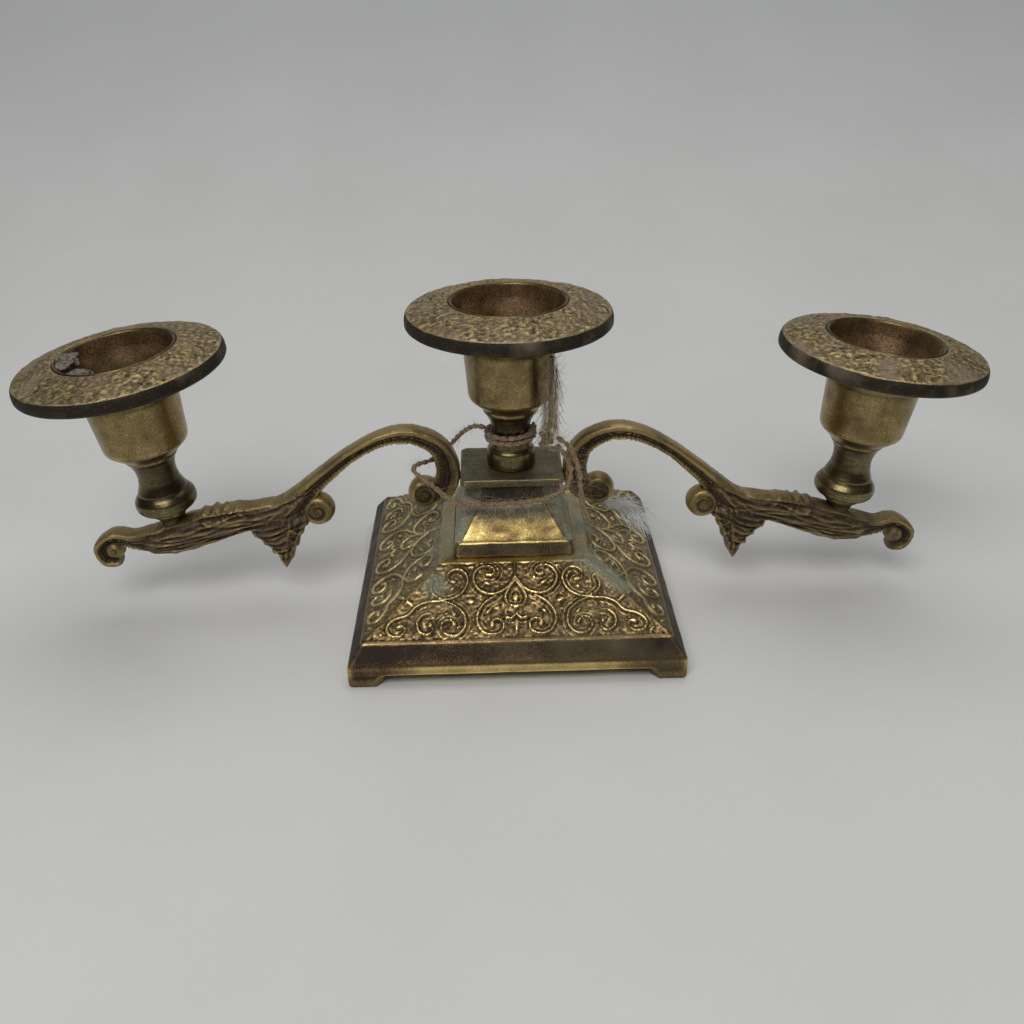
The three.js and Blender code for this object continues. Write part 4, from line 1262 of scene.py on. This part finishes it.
def in_socket(p):
    """True on the inside of a cup."""
    middle = np.interp(p[:, 2], [17.3, 24, 28, 31, 36.3], [7.6, 8.3, 9.2, 10.8, 11.3])
    return (np.hypot(p[:, 0], p[:, 1]) < middle) & (p[:, 2] > CUP_FLOOR_AT - 1)


def socket_tone(p):
    """Inside, a cup is brown from burnt wax."""
    lip = -0.22 * (p[:, 2] > LIP_AT - 0.8)
    return np.where(in_socket(p), -0.1 + 0.12 * lumps(p, 4, 33), 0.04 * lumps(p, 5, 34) + lip)


def socket_haze(p):
    """Burnt wax inside a cup, in rusty blotches; none outside."""
    return in_socket(p) * (0.5 + 0.5 * lumps(p, 3, 36))


places = {name: seat_place(arm) for name, arm in ARMS.items()}
places["centre"] = Matrix.Translation((0, 0, HUB_TOP_Z))
for number, (name, place) in enumerate(places.items()):
    body = f"{name}_holder"
    stem = CENTRE_STEM if name == "centre" else OUTER_STEM
    points, faces = turned(refined(eased(stem, 0.25), 0.35))
    piece(f"{name}_stem_turning", points, faces, "crosspiece", stem_brass,
          hides=[f"{name}_stem"], place=place, swell=lambda p: 0.03 * lumps(p, 2.5, number + 20),
          rounds=8, scale=0.3, tone=lambda p: -0.04)
    points, faces = turned(refined(eased(CUP, 0.3), 0.45), 192)
    piece(f"{name}_cup_turning", points, faces, body, turned_brass,
          hides=[f"{name}_cup"], place=place, swell=lambda p: 0.03 * lumps(p, 3.5, number + 30),
          rounds=8, scale=0.3, tone=socket_tone, haze=socket_haze)
    profile = refined(eased(PAN + PAN[:1], 0.25), 0.28)
    points, faces = turned(profile[:-1], 300, closed=True)
    piece(f"{name}_drip_pan_casting", points, faces, body, crusted_brass,
          hides=[f"{name}_drip_pan"], place=place, swell=crust(40 + 3 * number), rounds=6, scale=0.27,
          tone=lambda p: np.where(p[:, 2] < PAN_EDGE - 0.2, -0.55, 0.02),
          haze=lambda p: 0.7 * (p[:, 2] > PAN_EDGE) * (1.5 * lumps(p, 4.5, number + 45) - 0.1))

for name in ARMS:
    head = [(0, -4.6), (1.2, -4.6), (1.5, -4.2), (1.5, 17.6), (2.9, 17.6), (3.0, 17.8), (3.0, 18.5),
            (2.3, 19.1), (0, 19.3)]
    points, faces = turned(refined(eased(head, 0.2), 0.4), 64)
    piece(f"{name}_cup_screw_head", points, faces, f"{name}_holder", zinc_steel,
          hides=[f"{name}_cup_screw"], place=places[name],
          swell=lambda p: np.where((p[:, 2] > 18.3) & (np.abs(p[:, 1]) < 0.4), -0.7, 0.0))
for name, body, low in (("centre_cup_nut", "centre_holder", HUB_TOP_Z + CUP_FLOOR_AT + 0.3),
                        ("base_nut", "base", BASE_NUT_AT)):
    points, faces = nut_mesh(NUT_ACROSS, low, low + NUT_HEIGHT, ROD_HOLE_R)
    piece(f"{name}_hexagon", points, faces, body, zinc_steel, hides=[name])
washer = eased([(WASHER_HOLE_R, WASHER_AT), (WASHER_R, WASHER_AT), (WASHER_R, WASHER_TOP),
                (WASHER_HOLE_R, WASHER_TOP), (WASHER_HOLE_R, WASHER_AT)], 0.15)
points, faces = turned(washer[:-1], 96, closed=True)
piece("base_washer_disc", points, faces, "base", zinc_steel, hides=["base_washer"])
rod = [(0, ROD_LOW), (1.7, ROD_LOW)]
for turn in np.arange(9.8, 53.8, ROD_PITCH):
    rod += [(2.0, turn), (1.8, turn + ROD_PITCH / 2)]
points, faces = turned(rod + [(1.7, ROD_HIGH), (0, ROD_HIGH)], 32)
piece("tie_rod_threaded", points, faces, "base", zinc_steel, hides=["tie_rod"])
for name in ARMS:
    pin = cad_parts[f"{name}_arm_pin"]
    pin.data.materials.clear()
    pin.data.materials.append(zinc_steel)


# ---- Wax and dirt left on the metal ----
def blob(name, side, centre, size, finish, seed):
    """A lump of wax in an outer holder: a ball pressed flat and heaved out of round."""
    made = bmesh.new()
    bmesh.ops.create_icosphere(made, subdivisions=5, radius=1)
    points = np.array([tuple(v.co) for v in made.verts])
    faces = [[v.index for v in face.verts] for face in made.faces]
    made.free()
    heave = 1 + 0.28 * lumps(points, 0.8, seed) + 0.2 * lumps(points, 0.3, seed + 1)
    points = points * heave[:, None] * np.array(size) + np.array(centre)
    piece(name, points, faces, f"{side}_holder", finish, place=places[side],
          swell=lambda p: 0.16 * lumps(p, 0.5, seed + 2), crease=80)


blob("left_wax_lump", "left", (-10.2, -0.8, LIP_AT - 0.9), (2.6, 3.4, 1.3), grey_wax, 61)
blob("left_wax_crumbs", "left", (-6.4, -5.9, LIP_AT - 2.2), (2.8, 1.7, 1.2), grey_wax, 64)
blob("right_wax_patch", "right", (-11.8, -6.8, PAN_EDGE + 1.1), (2.9, 1.3, 0.7), pale_wax, 70)


# A brush of white thread caught on the far right of the base.
TUFT = [((23.4, 15.6, 14.0), (1.0, -0.25, -0.1), 150), ((28.0, 13.0, 12.6), (0.5, -0.95, -0.3), 130)]
tuft_roots = []
for start, heading, count in TUFT:
    for _ in range(count):
        tuft_roots.append((np.array(start) + chance.normal(0, 1, 3) * (2.2, 1.5, 0.25), heading))
fibres("white_thread_tuft", tuft_roots, 8.6, 0.17, 0.1, white_thread, drift=(0.1, -0.5, -0.3),
       curl=0.3, body="base")


# ---- Floor, backdrop and light ----
def backdrop():
    """A sheet of pale paper: a floor that curves up behind, painted darker up the wall as painted shade."""
    half, level_end, bend = 1500, 100, 420
    profile = [(-900, 0), (level_end, 0)]
    for angle in np.linspace(0, 90, 25)[1:]:
        a = math.radians(angle)
        profile.append((level_end + bend * math.sin(a), bend * (1 - math.cos(a))))
    profile.append((level_end + bend, 1400))
    points, faces = [], []
    for y, z in profile:
        points += [(-half * MM, y * MM, z * MM), (half * MM, y * MM, z * MM)]
    for i in range(len(profile) - 1):
        faces.append((2 * i, 2 * i + 1, 2 * i + 3, 2 * i + 2))
    mesh = bpy.data.meshes.new("paper_sweep")
    mesh.from_pydata(points, [], faces)
    mesh.shade_smooth()
    material, tree, shader, where = new_finish("matt_paper_sweep")
    mottle = node(tree, "ShaderNodeTexNoise", {"Vector": where, "Scale": per_metre(60), "Detail": 4.0})
    near = shades(tree, mottle.outputs["Fac"], [(0.3, "#E6E6E3"), (0.7, "#ECECEA")])
    # painted shade: the paper climbing the wall gets a darker colour than the floor
    far = shades(tree, mottle.outputs["Fac"], [(0.3, "#CECFCF"), (0.7, "#D2D3D3")])
    height = node(tree, "ShaderNodeSeparateXYZ", {"Vector": where}).outputs["Z"]
    climb = node(tree, "ShaderNodeMapRange", {"Value": height, "From Min": 0.0, "From Max": 0.1})
    tone = mix_colours(tree, climb.outputs["Result"], near, far)
    tree.links.new(tone, shader.inputs["Base Color"])
    shader.inputs["Roughness"].default_value = 0.7
    mesh.materials.append(material)
    made = bpy.data.objects.new("paper_sweep", mesh)
    bpy.context.collection.objects.link(made)


def softbox(name, place, target, size, power):
    """A soft white light of that width and depth in metres, aimed at the target."""
    light = bpy.data.lights.new(name, "AREA")
    light.shape = "RECTANGLE"
    light.size, light.size_y = size
    light.energy = power
    lamp = bpy.data.objects.new(name, light)
    lamp.location = place
    aim = Vector(target) - Vector(place)
    lamp.rotation_euler = aim.to_track_quat("-Z", "Y").to_euler()
    bpy.context.collection.objects.link(lamp)


def room_light():
    """Soft daylight from above, falling away to a dim room in front and below."""
    world = bpy.data.worlds.new("room")
    world.use_nodes = True
    tree = world.node_tree
    way = node(tree, "ShaderNodeTexCoord").outputs["Generated"]
    apart = node(tree, "ShaderNodeSeparateXYZ", {"Vector": way})
    lift = node(tree, "ShaderNodeMapRange", {"Value": apart.outputs["Z"], "From Min": -0.2, "From Max": 0.9})
    tone = shades(tree, lift.outputs["Result"], [(0.0, "#3C3934"), (0.35, "#6A6762"), (1.0, "#C9CACC")])
    tree.links.new(tone, tree.nodes["Background"].inputs["Color"])
    tree.nodes["Background"].inputs["Strength"].default_value = 0.36
    bpy.context.scene.world = world


backdrop()
room_light()
softbox("window_above_front", (-0.15, -0.45, 0.62), (0, 0, 0.03), (0.5, 0.3), 2.1)
softbox("ceiling", (0.1, 0.25, 0.95), (0, 0.05, 0), (0.9, 0.7), 2.5)
bpy.context.scene.view_settings.view_transform = "Standard"
